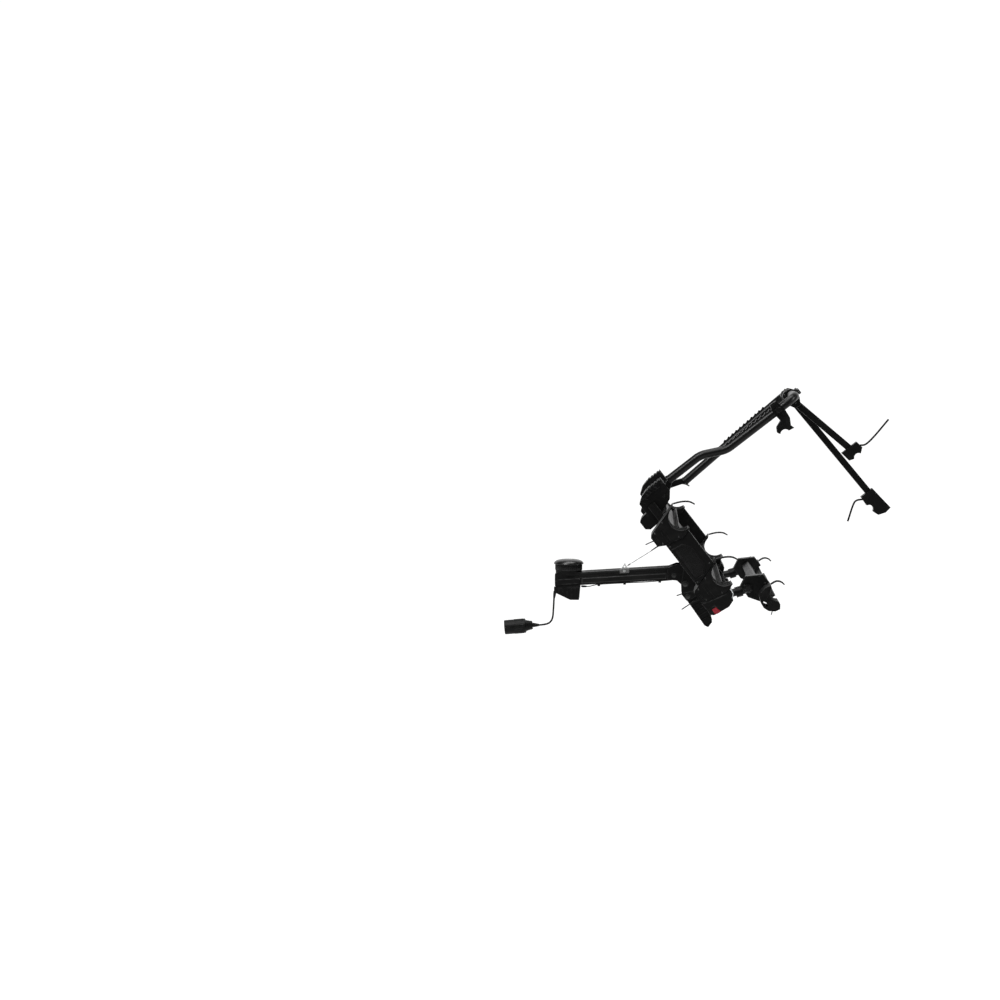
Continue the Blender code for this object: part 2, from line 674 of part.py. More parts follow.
def make_trays(tilt):
    tails = {
        1: [[(0.020, 0.040), (0.014, 0.020), (0.009, -0.002)],
            [(0.040, 0.046), (0.037, 0.028), (0.036, 0.004)]],
        2: [[(0.006, 0.040), (-0.012, 0.020), (-0.029, -0.026)],
            [(0.030, 0.038), (0.022, 0.010), (0.018, -0.040)]],
    }
    for number, u in ((1, TRAY_1_U), (2, TRAY_1_U + WHEEL_SPACING)):
        end = TRAY_END_Y - SEAT_GAP
        tray = prism(f"tray_{number}", tray_outline(u, FRAME_TOP + SEAT_GAP, TRAY_HALF_WIDTH),
                     -end, end, tilt)
        finish(tray, black_paint(f"tray_paint_{number}"))
        for name, side in sides():
            low, high = across(side, TRAY_END_Y, TRAY_END_Y + HOLDER_LENGTH)
            holder = prism(f"wheel_holder_{number}_{name}", holder_outline(u), low, high, tilt)
            holder = unite(holder, strap_tails(u, tilt, side, tails[number]))
            outer = TRAY_END_Y + HOLDER_LENGTH
            slot_low, slot_high = across(side, outer - 0.010, outer + 0.01)
            slot = box("slot", (u - 0.004, slot_low, 0.066), (u + 0.044, slot_high, 0.072), tilt)
            holder = cut(holder, [slot])
            finish(holder, black_plastic(f"holder_plastic_{number}_{name}"))
            make_strap(f"strap_{number}_{name}", tilt, side, (u - 0.0478, 0.1655),
                       [(0.0, 0.0), (0.014, 0.030), (0.030, 0.050), (0.049, 0.060)],
                       TRAY_END_Y + HOLDER_LENGTH * 0.5)


def make_side_panels(tilt):
    u1 = TRAY_1_U
    u2 = TRAY_1_U + WHEEL_SPACING
    gap = 0.0005
    outline = [(u1 + 0.0505 + gap, 0.057), (u2 - 0.0165 - gap, 0.057), (u2 - 0.018 - gap, 0.062),
               (u2 - 0.046 - gap, 0.153), (u1 + 0.056 + gap, 0.153), (u1 + 0.066 + gap, 0.124)]
    recess = [(-0.172, 0.064), (-0.040, 0.064), (-0.036, 0.100), (-0.062, 0.124), (-0.140, 0.124),
              (-0.166, 0.104)]
    for name, side in sides():
        outer = TRAY_END_Y + HOLDER_LENGTH - 0.006
        low, high = across(side, outer - PANEL_THICKNESS, outer)
        panel = prism(f"side_panel_{name}", outline, low, high, tilt)
        low, high = across(side, outer - PANEL_RECESS, outer + 0.01)
        panel = cut(panel, [prism("recess", recess, low, high, tilt)])
        finish(panel, black_plastic(f"panel_plastic_{name}"))


# ---------------------------------------------------------------- lamps and number plate
def make_lamps(tilt):
    housing_outline = [(0.0395, 0.0305), (0.0508, 0.0556), (0.0672, 0.1238), (0.0600, 0.1440),
                       (0.0815, 0.1410), (0.0915, 0.1285), (0.100, 0.127), (0.109, 0.100),
                       (0.105, 0.0685), (0.0757, 0.062), (0.0700, 0.0305)]
    lens_outline = [(0.0704, 0.0305), (0.0760, 0.0617), (0.1052, 0.0681), (0.101, 0.040), (0.092, 0.0305)]
    for name, side in sides():
        low, high = across(side, LAMP_INNER_Y, TRAY_END_Y + HOLDER_LENGTH)
        housing = prism(f"lamp_housing_{name}", housing_outline, low, high, tilt)
        finish(housing, black_plastic(f"lamp_plastic_{name}"))
        lens = prism(f"lamp_lens_{name}", lens_outline, low, high, tilt)
        finish(lens, make_material(f"lens_red_{name}", (0.42, 0.010, 0.022), 0.18))
    inner = RAIL_Y - FRAME_TUBE / 2 - SEAT_GAP
    plate = box("plate_carrier", (PLATE_FACE_U - PLATE_BOARD, -inner, PLATE_BOTTOM),
                (PLATE_FACE_U, inner, PLATE_TOP), tilt)
    finish(plate, black_plastic("plate_plastic"))


def make_pedal(tilt):
    rear = PEDAL_PIN_U + PEDAL_LENGTH
    half = PEDAL_THICKNESS / 2
    knuckle = arc((PEDAL_PIN_U, PEDAL_PIN_V), 0.012, 90, 270, 8)
    outline = knuckle + [(PEDAL_PIN_U + 0.050, PEDAL_PIN_V - half - 0.004),
                         (rear - 0.014, PEDAL_PIN_V - half - 0.008),
                         (rear, PEDAL_PIN_V - half - 0.001), (rear - 0.006, PEDAL_PIN_V + half + 0.003),
                         (PEDAL_PIN_U + 0.106, PEDAL_PIN_V + half + 0.015),
                         (PEDAL_PIN_U + 0.060, PEDAL_PIN_V + half + 0.026),
                         (PEDAL_PIN_U + 0.022, PEDAL_PIN_V + half + 0.024)]
    inner = SPINE_INNER_HALF_WIDTH - 0.0005
    pedal = prism("foot_pedal", outline, -inner, inner, tilt)
    hole = rod("hole", (PEDAL_PIN_U, -0.06, PEDAL_PIN_V), (PEDAL_PIN_U, 0.06, PEDAL_PIN_V),
               PIN_RADIUS + RUNNING_GAP, tilt)
    pedal = cut(pedal, [hole])
    finish(pedal, black_plastic("pedal_plastic"))
    pin = headed_pin("pedal_pin", PEDAL_PIN_U, PEDAL_PIN_V,
                     SPINE_INNER_HALF_WIDTH + SPINE_PLATE + SEAT_GAP, PIN_RADIUS, PIN_RADIUS + 0.003,
                     0.003, tilt)
    finish(pin, bright_steel("pedal_pin_steel"))


# ---------------------------------------------------------------- mast
def make_mast_feet(tilt):
    outline = [(-0.358, 0.060), (-0.376, 0.085), (-0.386, 0.120), (-0.386, 0.178), (-0.328, 0.178),
               (-0.306, 0.160), (-0.292, 0.130), (-0.292, 0.1075), (-0.262, 0.1075), (-0.260, 0.036),
               (-0.272, 0.021), (-0.304, 0.021), (-0.314, 0.036), (-0.316, 0.060)]
    slot_low = MAST_HALF_WIDTH - KNUCKLE_THICKNESS / 2 - 0.0005
    slot_high = MAST_HALF_WIDTH + KNUCKLE_THICKNESS / 2 + 0.0005
    for name, side in sides():
        low, high = across(side, FOOT_INNER_Y, FOOT_OUTER_Y)
        foot = prism(f"mast_foot_{name}", outline, low, high, tilt)
        low, high = across(side, slot_low, slot_high)
        slot = box("slot", (-0.41, low, 0.128), (-0.27, high, 0.20), tilt)
        low, high = across(side, FOOT_INNER_Y - 0.01, FOOT_OUTER_Y + 0.01)
        hole = rod("hole", (MAST_PIN_U, low, MAST_PIN_V), (MAST_PIN_U, high, MAST_PIN_V),
                   PIN_RADIUS + SEAT_GAP, tilt)
        fins = []
        for step in range(6):
            fin_v = 0.100 + 0.014 * step
            fins.append(box("fin", (-0.40, low, fin_v), (-0.383, high, fin_v + 0.005), tilt))
        foot = cut(foot, [slot, hole] + fins)
        finish(foot, black_plastic(f"foot_plastic_{name}"))
        inner = FOOT_INNER_Y - SEAT_GAP
        pin = rod(f"mast_pin_{name}", (MAST_PIN_U, side * (inner - 0.001), MAST_PIN_V),
                  (MAST_PIN_U, side * (FOOT_OUTER_Y - 0.002), MAST_PIN_V), PIN_RADIUS, tilt)
        head = rod("head", (MAST_PIN_U, side * inner, MAST_PIN_V),
                   (MAST_PIN_U, side * (inner - 0.005), MAST_PIN_V), PIN_RADIUS + 0.004, tilt, steps=16)
        pin = unite(pin, [head])
        finish(pin, bright_steel(f"mast_pin_steel_{name}"))


def leg_front(side, v):
    """Car-facing surface of a mast leg's upper part, at a height on the platform."""
    if side < 0:
        return MAST_TOP_U - MAST_TUBE_RADIUS
    share = (v - FAR_LEG_V) / (MAST_TOP_V - FAR_LEG_V)
    return FAR_LEG_U + (MAST_TOP_U - FAR_LEG_U) * share - MAST_TUBE_RADIUS


def make_mast(tilt):
    y = MAST_HALF_WIDTH
    path = bent(
        [(NEAR_LEG_U, -y, NEAR_LEG_V), (NEAR_LEG_U, -y, NEAR_LEG_BEND_V), (MAST_TOP_U, -y, 0.432),
         (MAST_TOP_U, -y, MAST_TOP_V), (MAST_TOP_U, y, MAST_TOP_V), (FAR_LEG_U, y, FAR_LEG_V)],
        [MAST_BEND_RADIUS, MAST_BEND_RADIUS, MAST_CORNER_RADIUS, MAST_CORNER_RADIUS])
    mast = tube("mast", path, MAST_TUBE_RADIUS, tilt, resolution=4)
    pieces = []
    for side, foot_u, foot_v in ((-1, NEAR_LEG_U, NEAR_LEG_V), (1, FAR_LEG_U, FAR_LEG_V)):
        low, high = across(side, MAST_HALF_WIDTH - KNUCKLE_THICKNESS / 2,
                           MAST_HALF_WIDTH + KNUCKLE_THICKNESS / 2)
        lean = math.degrees(math.atan2(foot_v - MAST_PIN_V, foot_u - MAST_PIN_U))
        end = arc((MAST_PIN_U, MAST_PIN_V), 0.0145, lean + 90, lean + 270, 8)
        top = [(foot_u + 0.011, foot_v + 0.014), (foot_u - 0.011, foot_v + 0.014)]
        pieces.append(prism("knuckle", end + top, low, high, tilt))
        first_v = RIB_FIRST_V - 0.012
        last_v = RIB_FIRST_V + (RIB_COUNT - 1) * RIB_PITCH + 0.0035
        teeth = [(leg_front(side, first_v) + 0.010, first_v)]
        for number in range(RIB_COUNT):
            v = RIB_FIRST_V + number * RIB_PITCH
            front = leg_front(side, v)
            teeth += [(front - 0.001, v - 0.007), (front - RIB_HEIGHT, v + 0.002),
                      (front - 0.001, v + 0.005)]
        teeth.append((leg_front(side, last_v) + 0.010, last_v))
        low, high = across(side, MAST_HALF_WIDTH - 0.008, MAST_HALF_WIDTH + 0.008)
        pieces.append(prism("rack", teeth, low, high, tilt))
    mast = unite(mast, pieces)
    holes = []
    for _, side in sides():
        low, high = across(side, MAST_HALF_WIDTH - 0.03, MAST_HALF_WIDTH + 0.03)
        holes.append(rod("hole", (MAST_PIN_U, low, MAST_PIN_V), (MAST_PIN_U, high, MAST_PIN_V),
                         PIN_RADIUS + RUNNING_GAP, tilt))
    mast = cut(mast, holes)
    finish(mast, black_paint("mast_paint"))


# ---------------------------------------------------------------- arms that hold the bikes
def make_short_arm(tilt):
    """Flat curved arm on the near leg, with the claw for the first bike."""
    y = -MAST_HALF_WIDTH
    u = MAST_TOP_U
    v = SHORT_ARM_V
    outline = [(u - 0.033, v - 0.010), (u - 0.031, v + 0.016), (u + 0.012, v + 0.024), (u + 0.048, v + 0.020),
               (u + 0.072, v + 0.006), (u + 0.087, v + 0.010), (u + 0.083, v - 0.012), (u + 0.064, v - 0.050),
               (u + 0.046, v - 0.040), (u + 0.036, v - 0.014), (u - 0.004, v - 0.018)]
    arm = prism("holder_arm_1", outline, y - 0.019, y + 0.019, tilt)
    hole = rod("hole", (u, y, v - 0.05), (u, y, v + 0.05), MAST_TUBE_RADIUS + RUNNING_GAP, tilt)
    grip = rod("grip", (u + 0.086, y - 0.03, v - 0.030), (u + 0.086, y + 0.03, v - 0.030),
               GRIP_RADIUS, tilt)
    arm = cut(arm, [hole, grip])
    finish(arm, black_plastic("holder_arm_1_plastic"))
    knob = rod("arm_knob_1", (u, y - 0.0193, v + 0.003), (u, y - 0.038, v + 0.003), 0.013, tilt)
    finish(knob, black_plastic("arm_knob_1_plastic"))


def make_long_arm(tilt, number, y, end, half_width):
    """Square arm on the mast's top bar, reaching rearwards to its claw."""
    u = MAST_TOP_U
    v = MAST_TOP_V
    head = [(u - 0.025, v - 0.016), (u - 0.022, v + 0.011), (u - 0.010, v + 0.021), (u + 0.025, v + 0.020),
            (u + 0.053, v + 0.004), (u + 0.050, v - 0.018), (u + 0.020, v - 0.034), (u - 0.016, v - 0.030)]
    arm = prism(f"holder_arm_{number}", head, y - half_width, y + half_width, tilt)
    half = ARM_TUBE / 2
    start = Vector((u + 0.035, v - 0.004))
    along = (Vector(end) - start).normalized()
    rise = Vector((0.0, half / along.x))
    bar = [tuple(start - rise), tuple(Vector(end) - rise), tuple(Vector(end) + rise), tuple(start + rise)]
    arm = unite(arm, [prism("bar", bar, y - half, y + half, tilt)])
    hole = rod("hole", (u, y - 0.08, v), (u, y + 0.08, v), MAST_TUBE_RADIUS + RUNNING_GAP, tilt)
    arm = cut(arm, [hole])
    finish(arm, black_plastic(f"holder_arm_{number}_plastic"))
    knob = rod(f"arm_knob_{number}", (u + 0.007, y, v + 0.0213), (u + 0.007, y, v + 0.036),
               0.012, tilt)
    finish(knob, black_plastic(f"arm_knob_{number}_plastic"))


def make_claws(tilt):
    """Claws on the ends of the two long arms."""
    claws = (
        (2, 0.0, [(-0.0293, 0.766), (0.010, 0.771), (0.016, 0.800), (0.014, 0.834), (0.000, 0.840),
                  (-0.0293, 0.836)], (0.022, 0.806),
         [(-0.010, 0.838), (0.000, 0.858), (-0.004, 0.900), (-0.022, 0.982)], 0.020),
        (3, ARM_3_Y, [(0.1582, 0.726), (0.190, 0.722), (0.252, 0.736), (0.262, 0.764), (0.258, 0.790),
                      (0.1582, 0.780)], (0.214, 0.722),
         [(0.172, 0.728), (0.160, 0.705), (0.166, 0.684), (0.203, 0.630)], 0.022),
    )
    for number, y, outline, grip_centre, strap, half_width in claws:
        claw = prism(f"claw_{number}", outline, y - half_width, y + half_width, tilt)
        tail_points = smooth_route([(a, y, b) for a, b in strap], 0.012)
        tail = tube("tail", tail_points, CLAW_TAIL_RADIUS, tilt, resolution=2)
        claw = unite(claw, [tail])
        grip_u, grip_v = grip_centre
        grip = rod("grip", (grip_u, y - 0.05, grip_v), (grip_u, y + 0.05, grip_v), GRIP_RADIUS, tilt)
        claw = cut(claw, [grip])
        finish(claw, black_plastic(f"claw_{number}_plastic"))


# ---------------------------------------------------------------- third-bike adapter
def make_adapter(tilt):
    pieces = []
    block_outline = [(0.083, 0.206), (0.101, 0.168), (0.150, 0.166), (0.196, 0.196), (0.203, 0.2295),
                     (0.1585, 0.2295), (0.158, 0.261), (0.117, 0.261)]
    foot_v = FRAME_TOP + SEAT_GAP
    for _, side in sides():
        low, high = across(side, RAIL_Y - 0.020, RAIL_Y + 0.020)
        pieces.append(prism("block", block_outline, low, high, tilt))
        pieces.append(rod("post", (0.100, side * RAIL_Y, foot_v + 0.0105), (0.124, side * RAIL_Y, 0.175),
                          ADAPTER_POST_RADIUS, tilt))
        pieces.append(rod("collar", (0.1105, side * RAIL_Y, 0.140), (0.1195, side * RAIL_Y, 0.1635),
                          ADAPTER_COLLAR_RADIUS, tilt))
        low, high = across(side, RAIL_Y - FRAME_TUBE / 2, RAIL_Y + FRAME_TUBE / 2)
        pieces.append(box("foot", (0.070, low, foot_v), (RAIL_REAR, high, foot_v + 0.014), tilt))
    bar = box("adapter", (0.112, -RAIL_Y, 0.200), (0.142, RAIL_Y, 0.230), tilt)
    end = ADAPTER_END_Y - SEAT_GAP
    pieces.append(prism("tray", tray_outline(0.1795, 0.229, 0.0205), -end, end, tilt))
    adapter = unite(bar, pieces)
    finish(adapter, black_paint("adapter_paint"))
    outline = [(0.150, 0.262), (0.146, 0.240), (0.151, 0.213), (0.1604, 0.2024), (0.180, 0.1938),
               (0.1986, 0.1915), (0.2178, 0.1985), (0.2339, 0.2171), (0.2378, 0.2349), (0.224, 0.2465),
               (0.213, 0.247)]
    window_outline = [(0.1780, 0.2045), (0.1945, 0.1985), (0.2045, 0.2060), (0.1930, 0.2125)]
    cup = arc((0.187, 0.262), 0.028, -30, -172, 8)
    tails = [[(0.222, 0.212), (0.233, 0.206), (0.240, 0.196)]]
    for name, side in sides():
        low, high = across(side, ADAPTER_END_Y, ADAPTER_END_Y + ADAPTER_HOLDER_LENGTH)
        holder = prism(f"wheel_holder_3_{name}", outline + cup, low, high, tilt)
        holder = unite(holder, strap_tails(0.0, tilt, side * ADAPTER_END_Y / TRAY_END_Y, tails))
        low, high = across(side, ADAPTER_END_Y - 0.01, ADAPTER_END_Y + ADAPTER_HOLDER_LENGTH + 0.01)
        holder = cut(holder, [prism("window", window_outline, low, high, tilt)])
        finish(holder, black_plastic(f"holder_plastic_3_{name}"))
        make_strap(f"strap_3_{name}", tilt, side, (0.1508, 0.2624),
                   [(0.0, 0.0), (0.004, 0.022), (0.016, 0.034), (0.032, 0.038)],
                   ADAPTER_END_Y + ADAPTER_HOLDER_LENGTH * 0.5)
        knob = rod(f"adapter_knob_{name}", (0.124, side * (RAIL_Y + 0.0204), 0.186),
                   (0.124, side * (RAIL_Y + 0.040), 0.186), 0.017, tilt)
        finish(knob, black_plastic(f"adapter_knob_plastic_{name}"))


# ---------------------------------------------------------------- assembly
tilt_empty = bpy.data.objects.new("tilt_pivot", None)
parts.objects.link(tilt_empty)
tilt_empty.location = (PIVOT_X, 0.0, PIVOT_Z)
tilt_empty.rotation_euler = (0.0, TILT_ANGLE, 0.0)
bpy.context.view_layer.update()

make_coupling_arm()
make_coupling_head()
make_arm_end_cap()
make_knob_collar()
make_clamp_knob()
make_clamp_spindle()
make_ball_pad()
make_pivot_brackets()
make_pivot_fasteners()
make_cable_hook()
make_lamp_loom()
make_plug_and_cord()
make_frame(tilt_empty)
make_stop_cable(tilt_empty)
make_trays(tilt_empty)
make_side_panels(tilt_empty)
make_lamps(tilt_empty)
make_pedal(tilt_empty)
make_mast_feet(tilt_empty)
make_mast(tilt_empty)
make_short_arm(tilt_empty)
make_long_arm(tilt_empty, 2, 0.0, (-0.0298, 0.7995), 0.030)
make_long_arm(tilt_empty, 3, ARM_3_Y, (0.1577, 0.760), 0.030)
make_claws(tilt_empty)
make_adapter(tilt_empty)
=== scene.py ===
"""Looks of a tow-ball bike rack for three bikes, tilted rearwards on its loading pivot."""
import math

import bmesh
import bpy
from mathutils import Matrix, Vector


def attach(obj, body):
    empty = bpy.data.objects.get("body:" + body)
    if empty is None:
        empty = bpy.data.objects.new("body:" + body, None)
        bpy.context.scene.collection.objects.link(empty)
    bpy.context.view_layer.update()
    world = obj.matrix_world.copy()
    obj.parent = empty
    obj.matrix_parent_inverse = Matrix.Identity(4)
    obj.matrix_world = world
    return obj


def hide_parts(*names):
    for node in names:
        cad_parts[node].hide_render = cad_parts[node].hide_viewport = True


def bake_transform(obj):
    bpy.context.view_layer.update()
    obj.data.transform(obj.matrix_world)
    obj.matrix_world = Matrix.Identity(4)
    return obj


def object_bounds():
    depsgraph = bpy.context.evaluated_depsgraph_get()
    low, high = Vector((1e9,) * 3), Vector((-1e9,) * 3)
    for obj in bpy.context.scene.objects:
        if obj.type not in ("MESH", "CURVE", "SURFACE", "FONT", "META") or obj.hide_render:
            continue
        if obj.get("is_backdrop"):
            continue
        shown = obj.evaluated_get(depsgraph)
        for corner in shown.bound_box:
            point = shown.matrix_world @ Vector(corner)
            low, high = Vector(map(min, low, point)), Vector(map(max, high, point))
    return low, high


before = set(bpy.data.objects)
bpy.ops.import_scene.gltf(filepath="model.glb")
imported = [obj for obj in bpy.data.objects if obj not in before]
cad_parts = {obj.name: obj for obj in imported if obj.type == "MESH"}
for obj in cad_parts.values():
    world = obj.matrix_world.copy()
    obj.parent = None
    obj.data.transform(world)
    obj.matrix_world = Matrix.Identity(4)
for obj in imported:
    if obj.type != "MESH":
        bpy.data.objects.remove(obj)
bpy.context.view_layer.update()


# ---- Coupling arm
# The rack's backbone is a hollow aluminium extrusion with a dark groove and a rounded ridge
# along each side. It is powder-coated black after sawing and drilling.
class Wire:
    """A value in a finish. Arithmetic on it adds Math nodes."""

    def __init__(self, finish, socket):
        self.finish = finish
        self.socket = socket

    def math(self, operation, first, second):
        return self.finish.node("ShaderNodeMath", {"operation": operation}, {0: first, 1: second})

    def __add__(self, other):
        return self.math("ADD", self, other)

    __radd__ = __add__

    def __sub__(self, other):
        return self.math("SUBTRACT", self, other)

    def __rsub__(self, other):
        return self.math("SUBTRACT", other, self)

    def __mul__(self, other):
        return self.math("MULTIPLY", self, other)

    __rmul__ = __mul__


class Finish:
    """A material while its nodes are laid, with the helpers that its texture needs."""

    def __init__(self, name, sockets):
        self.material = bpy.data.materials.new(name)
        self.material.use_nodes = True
        self.tree = self.material.node_tree
        self.shader = self.tree.nodes["Principled BSDF"]
        self.shade(sockets)
        self.place = self.node("ShaderNodeTexCoord", {}, {}, "Object")
        self.edge = self.node("ShaderNodeAttribute", {"attribute_name": "edge"}, {}, "Fac")

    def node(self, kind, settings, sockets, output=0):
        """Adds a node: its settings first, then the values or links of its sockets."""
        made = self.tree.nodes.new(kind)
        for key, value in settings.items():
            setattr(made, key, value)
        self.join(made, sockets)
        return Wire(self, made.outputs[output])

    def join(self, made, sockets):
        for key, value in sockets.items():
            if isinstance(value, Wire):
                self.tree.links.new(value.socket, made.inputs[key])
            else:
                made.inputs[key].default_value = value

    def shade(self, sockets):
        self.join(self.shader, sockets)

    def noise(self, scale, detail=2.0, stretch=(1.0, 1.0, 1.0)):
        """Noise in features per metre, drawn out along the axes with a small stretch."""
        place = self.place
        if stretch != (1.0, 1.0, 1.0):
            place = self.node("ShaderNodeMapping", {}, {"Vector": self.place, "Scale": stretch})
        return self.node("ShaderNodeTexNoise", {}, {"Vector": place, "Scale": scale, "Detail": detail})

    def mask(self, value, low, high):
        return self.node("ShaderNodeMapRange", {"interpolation_type": "SMOOTHSTEP"},
                         {"Value": value, "From Min": low, "From Max": high})

    def tint(self, mask, first, second):
        return self.node("ShaderNodeMix", {"data_type": "RGBA"}, {0: mask, 6: first, 7: second}, 2)

    def bump(self, height, distance):
        return self.node("ShaderNodeBump", {}, {"Height": height, "Distance": distance})


def grey(level, warm=0.0):
    """Neutral colour, a touch greener or warmer with a positive or negative lean."""
    return (level * (1.0 - warm), level, level * (1.0 - 0.5 * warm), 1.0)


def make_powder_coat():
    """Black polyester powder: orange peel, dust in patches, and edges lightened grey, partly rubbed wear and
    partly a painted highlight.
    """
    coat = Finish("black_powder_coat", {"Specular IOR Level": 0.14})
    peel = coat.noise(620.0, 2.0)
    cloud = coat.noise(11.0, 3.0)
    grit = coat.noise(240.0, 4.0)
    # Bevelled edges go grey: the steady share is a painted highlight along every edge, the noisy share is
    # rubbed wear.
    rubbed = coat.edge * (0.30 + 0.40 * coat.mask(coat.noise(24.0, 3.0), 0.40, 0.66))
    dust = coat.mask(cloud * 0.7 + grit * 0.3, 0.50, 0.72)
    colour = coat.tint(cloud, grey(0.0014), grey(0.0030, 0.04))
    colour = coat.tint(dust * 0.06, colour, (0.035, 0.033, 0.029, 1.0))
    # Edges lightened: painted highlight plus rubbed wear.
    colour = coat.tint(rubbed, colour, grey(0.040))
    coat.shade({"Base Color": colour,
                "Roughness": 0.33 + 0.10 * cloud + 0.18 * dust + 0.06 * peel,
                "Normal": coat.bump(peel + 0.35 * grit, 0.00022)})
    return coat


powder_coat = make_powder_coat()


class Shape:
    """One piece's mesh while it is built up from solids, in row or platform axes."""

    def __init__(self, place=Matrix()):
        self.place = place
        self.points = []
        self.faces = []
        self.edge_wear_and_highlight = []

    def add(self, grid, bevel=0.0, segments=2):
        """Round a solid's edges and take it into the piece."""
        bmesh.ops.recalc_face_normals(grid, faces=grid.faces)
        rounded = set()
        if bevel:
            sharp = [edge for edge in grid.edges
                     if len(edge.link_faces) == 2 and edge.calc_face_angle() > 0.5]
            made = bmesh.ops.bevel(grid, geom=sharp, offset=bevel, segments=segments, profile=0.5,
                                   affect="EDGES", clamp_overlap=True)
            rounded = set(made["faces"])
        grid.verts.index_update()
        first = len(self.points)
        self.points += [self.place @ vert.co for vert in grid.verts]
        for face in grid.faces:
            self.faces.append([first + vert.index for vert in face.verts])
            # Faces made by the bevel are flagged for the finishes: rubbed wear on all, and a painted
            # highlight on the powder coat.
            self.edge_wear_and_highlight.append(1.0 if face in rounded else 0.0)
        grid.free()

    def carry(self, node, bevel):
        """Take over a CAD part with its flat faces whole again and its edges rounded."""
        grid = bmesh.new()
        grid.from_mesh(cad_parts[node].data)
        bmesh.ops.transform(grid, matrix=self.place.inverted(), verts=grid.verts)
        bmesh.ops.remove_doubles(grid, verts=grid.verts, dist=0.00002)
        bmesh.ops.dissolve_limit(grid, angle_limit=math.radians(1.0), verts=grid.verts,
                                 edges=grid.edges)
        self.add(grid, bevel)

    def loft(self, rings, bevel=0.0, segments=2, hoop=False):
        """Skin over rings of equal count, closed at both ends or back onto the first ring."""
        grid = bmesh.new()
        rows = [[grid.verts.new(point) for point in ring] for ring in rings]
        if hoop:
            rows.append(rows[0])
        else:
            grid.faces.new(rows[0])
            grid.faces.new(rows[-1])
        for row, after in zip(rows, rows[1:]):
            for i in range(len(row)):
                j = (i + 1) % len(row)
                grid.faces.new((row[i], row[j], after[j], after[i]))
        self.add(grid, bevel, segments)

    def plate(self, outline, low, high, bevel=0.0012, segments=2):
        """Flat outline in the side view, given a thickness across."""
        self.loft([[(x, y, z) for x, z in outline] for y in (low, high)], bevel, segments)

    def block(self, low, high, bevel=0.0008, segments=2):
        (x0, y0, z0), (x1, y1, z1) = low, high
        self.plate([(x0, z0), (x1, z0), (x1, z1), (x0, z1)], y0, y1, bevel, segments)

    def turned(self, profile, start, towards, steps=48, flutes=0, flute_depth=0.0):
        """(radius, distance) pairs turned about a line from start towards a point."""
        axis = (Vector(towards) - Vector(start)).normalized()
        side = axis.orthogonal().normalized()
        lift = axis.cross(side)
        rings = []
        for radius, distance in profile:
            ring = []
            for i in range(steps):
                angle = 2 * math.pi * i / steps
                reach = radius
                if radius > 4 * flute_depth:
                    reach -= flute_depth * (0.5 - 0.5 * math.cos(flutes * angle))
                ring.append(Vector(start) + axis * distance
                            + (side * math.cos(angle) + lift * math.sin(angle)) * reach)
            rings.append(ring)
        self.loft(rings)

    def rod(self, start, end, radius, chamfer=0.0008, steps=32):
        length = (Vector(end) - Vector(start)).length
        self.turned([(radius - chamfer, 0.0), (radius, chamfer), (radius, length - chamfer),
                     (radius - chamfer, length)], start, end, steps)

    def tube(self, path, radius, steps=16):
        """Round bar along points. The radius is one number, or one for each point."""
        path = [Vector(point) for point in path]
        radii = radius if isinstance(radius, list) else [radius] * len(path)
        side = (path[1] - path[0]).orthogonal().normalized()
        rings = []
        for i, (point, reach) in enumerate(zip(path, radii)):
            ahead = (path[min(i + 1, len(path) - 1)] - path[max(i - 1, 0)]).normalized()
            side = (side - ahead * side.dot(ahead)).normalized()
            lift = ahead.cross(side)
            rings.append([point + (side * math.cos(a) + lift * math.sin(a)) * reach
                          for a in (2 * math.pi * k / steps for k in range(steps))])
        self.loft(rings)


def piece(name, shape, finish, body, nodes=()):
    """Turn a built-up shape into an object that rides on its body."""
    mesh = bpy.data.meshes.new(name)
    mesh.from_pydata(shape.points, [], shape.faces)
    # The bevel flags become the "edge" attribute, read for rubbed wear and, on the powder coat, a painted
    # highlight.
    wear_and_highlight_layer = mesh.attributes.new("edge", "FLOAT", "FACE")
    wear_and_highlight_layer.data.foreach_set("value", shape.edge_wear_and_highlight)
    mesh.shade_smooth()
    mesh.set_sharp_from_angle(angle=math.radians(38))
    mesh.materials.append(finish.material)
    made = bpy.data.objects.new(name, mesh)
    bpy.context.scene.collection.objects.link(made)
    if body:
        made.modifiers.new("weighted_normals", "WEIGHTED_NORMAL").keep_sharp = True
        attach(made, body)
    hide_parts(*nodes)
    return made


ARM_SLOPE = 0.065
ARM_HEIGHT = 0.049
ARM_HALF_WIDTH = 0.038


def arm_bottom(x):
    return 0.003 + ARM_SLOPE * x


def arm_top(x):
    return arm_bottom(x) + ARM_HEIGHT


def arm_band(x_low, x_high, low, high):
    """Outline that follows the arm's slope, between two heights above its underside."""
    return [(x_low, arm_bottom(x_low) + low), (x_high, arm_bottom(x_high) + low),
            (x_high, arm_bottom(x_high) + high), (x_low, arm_bottom(x_low) + high)]


SIDES = (("near", -1), ("far", 1))


def across(side, inner, outer):
    """The y range, low to high, of a piece between two distances from the middle."""
    return (inner, outer) if side > 0 else (-outer, -inner)


RIDGE_START = 0.0625
RIDGE_END = 0.384

arm = Shape()
arm.carry("coupling_arm", 0.0009)
for y in (-0.006, 0.004):
    arm.plate(arm_band(0.075, 0.420, ARM_HEIGHT - 0.001, ARM_HEIGHT + 0.0009), y, y + 0.002, 0.0006)
for _, side in SIDES:
    low, high = across(side, ARM_HALF_WIDTH - 0.001, ARM_HALF_WIDTH + 0.0050)
    arm.plate(arm_band(RIDGE_START, RIDGE_END, 0.0060, 0.0265), low, high, 0.0050, 6)
    low, high = across(side, ARM_HALF_WIDTH - 0.001, ARM_HALF_WIDTH + 0.0018)
    arm.plate(arm_band(RIDGE_START, RIDGE_END, 0.0425, 0.0480), low, high, 0.0014, 3)
piece("arm_extrusion", arm, powder_coat, "hitch", ["coupling_arm"])


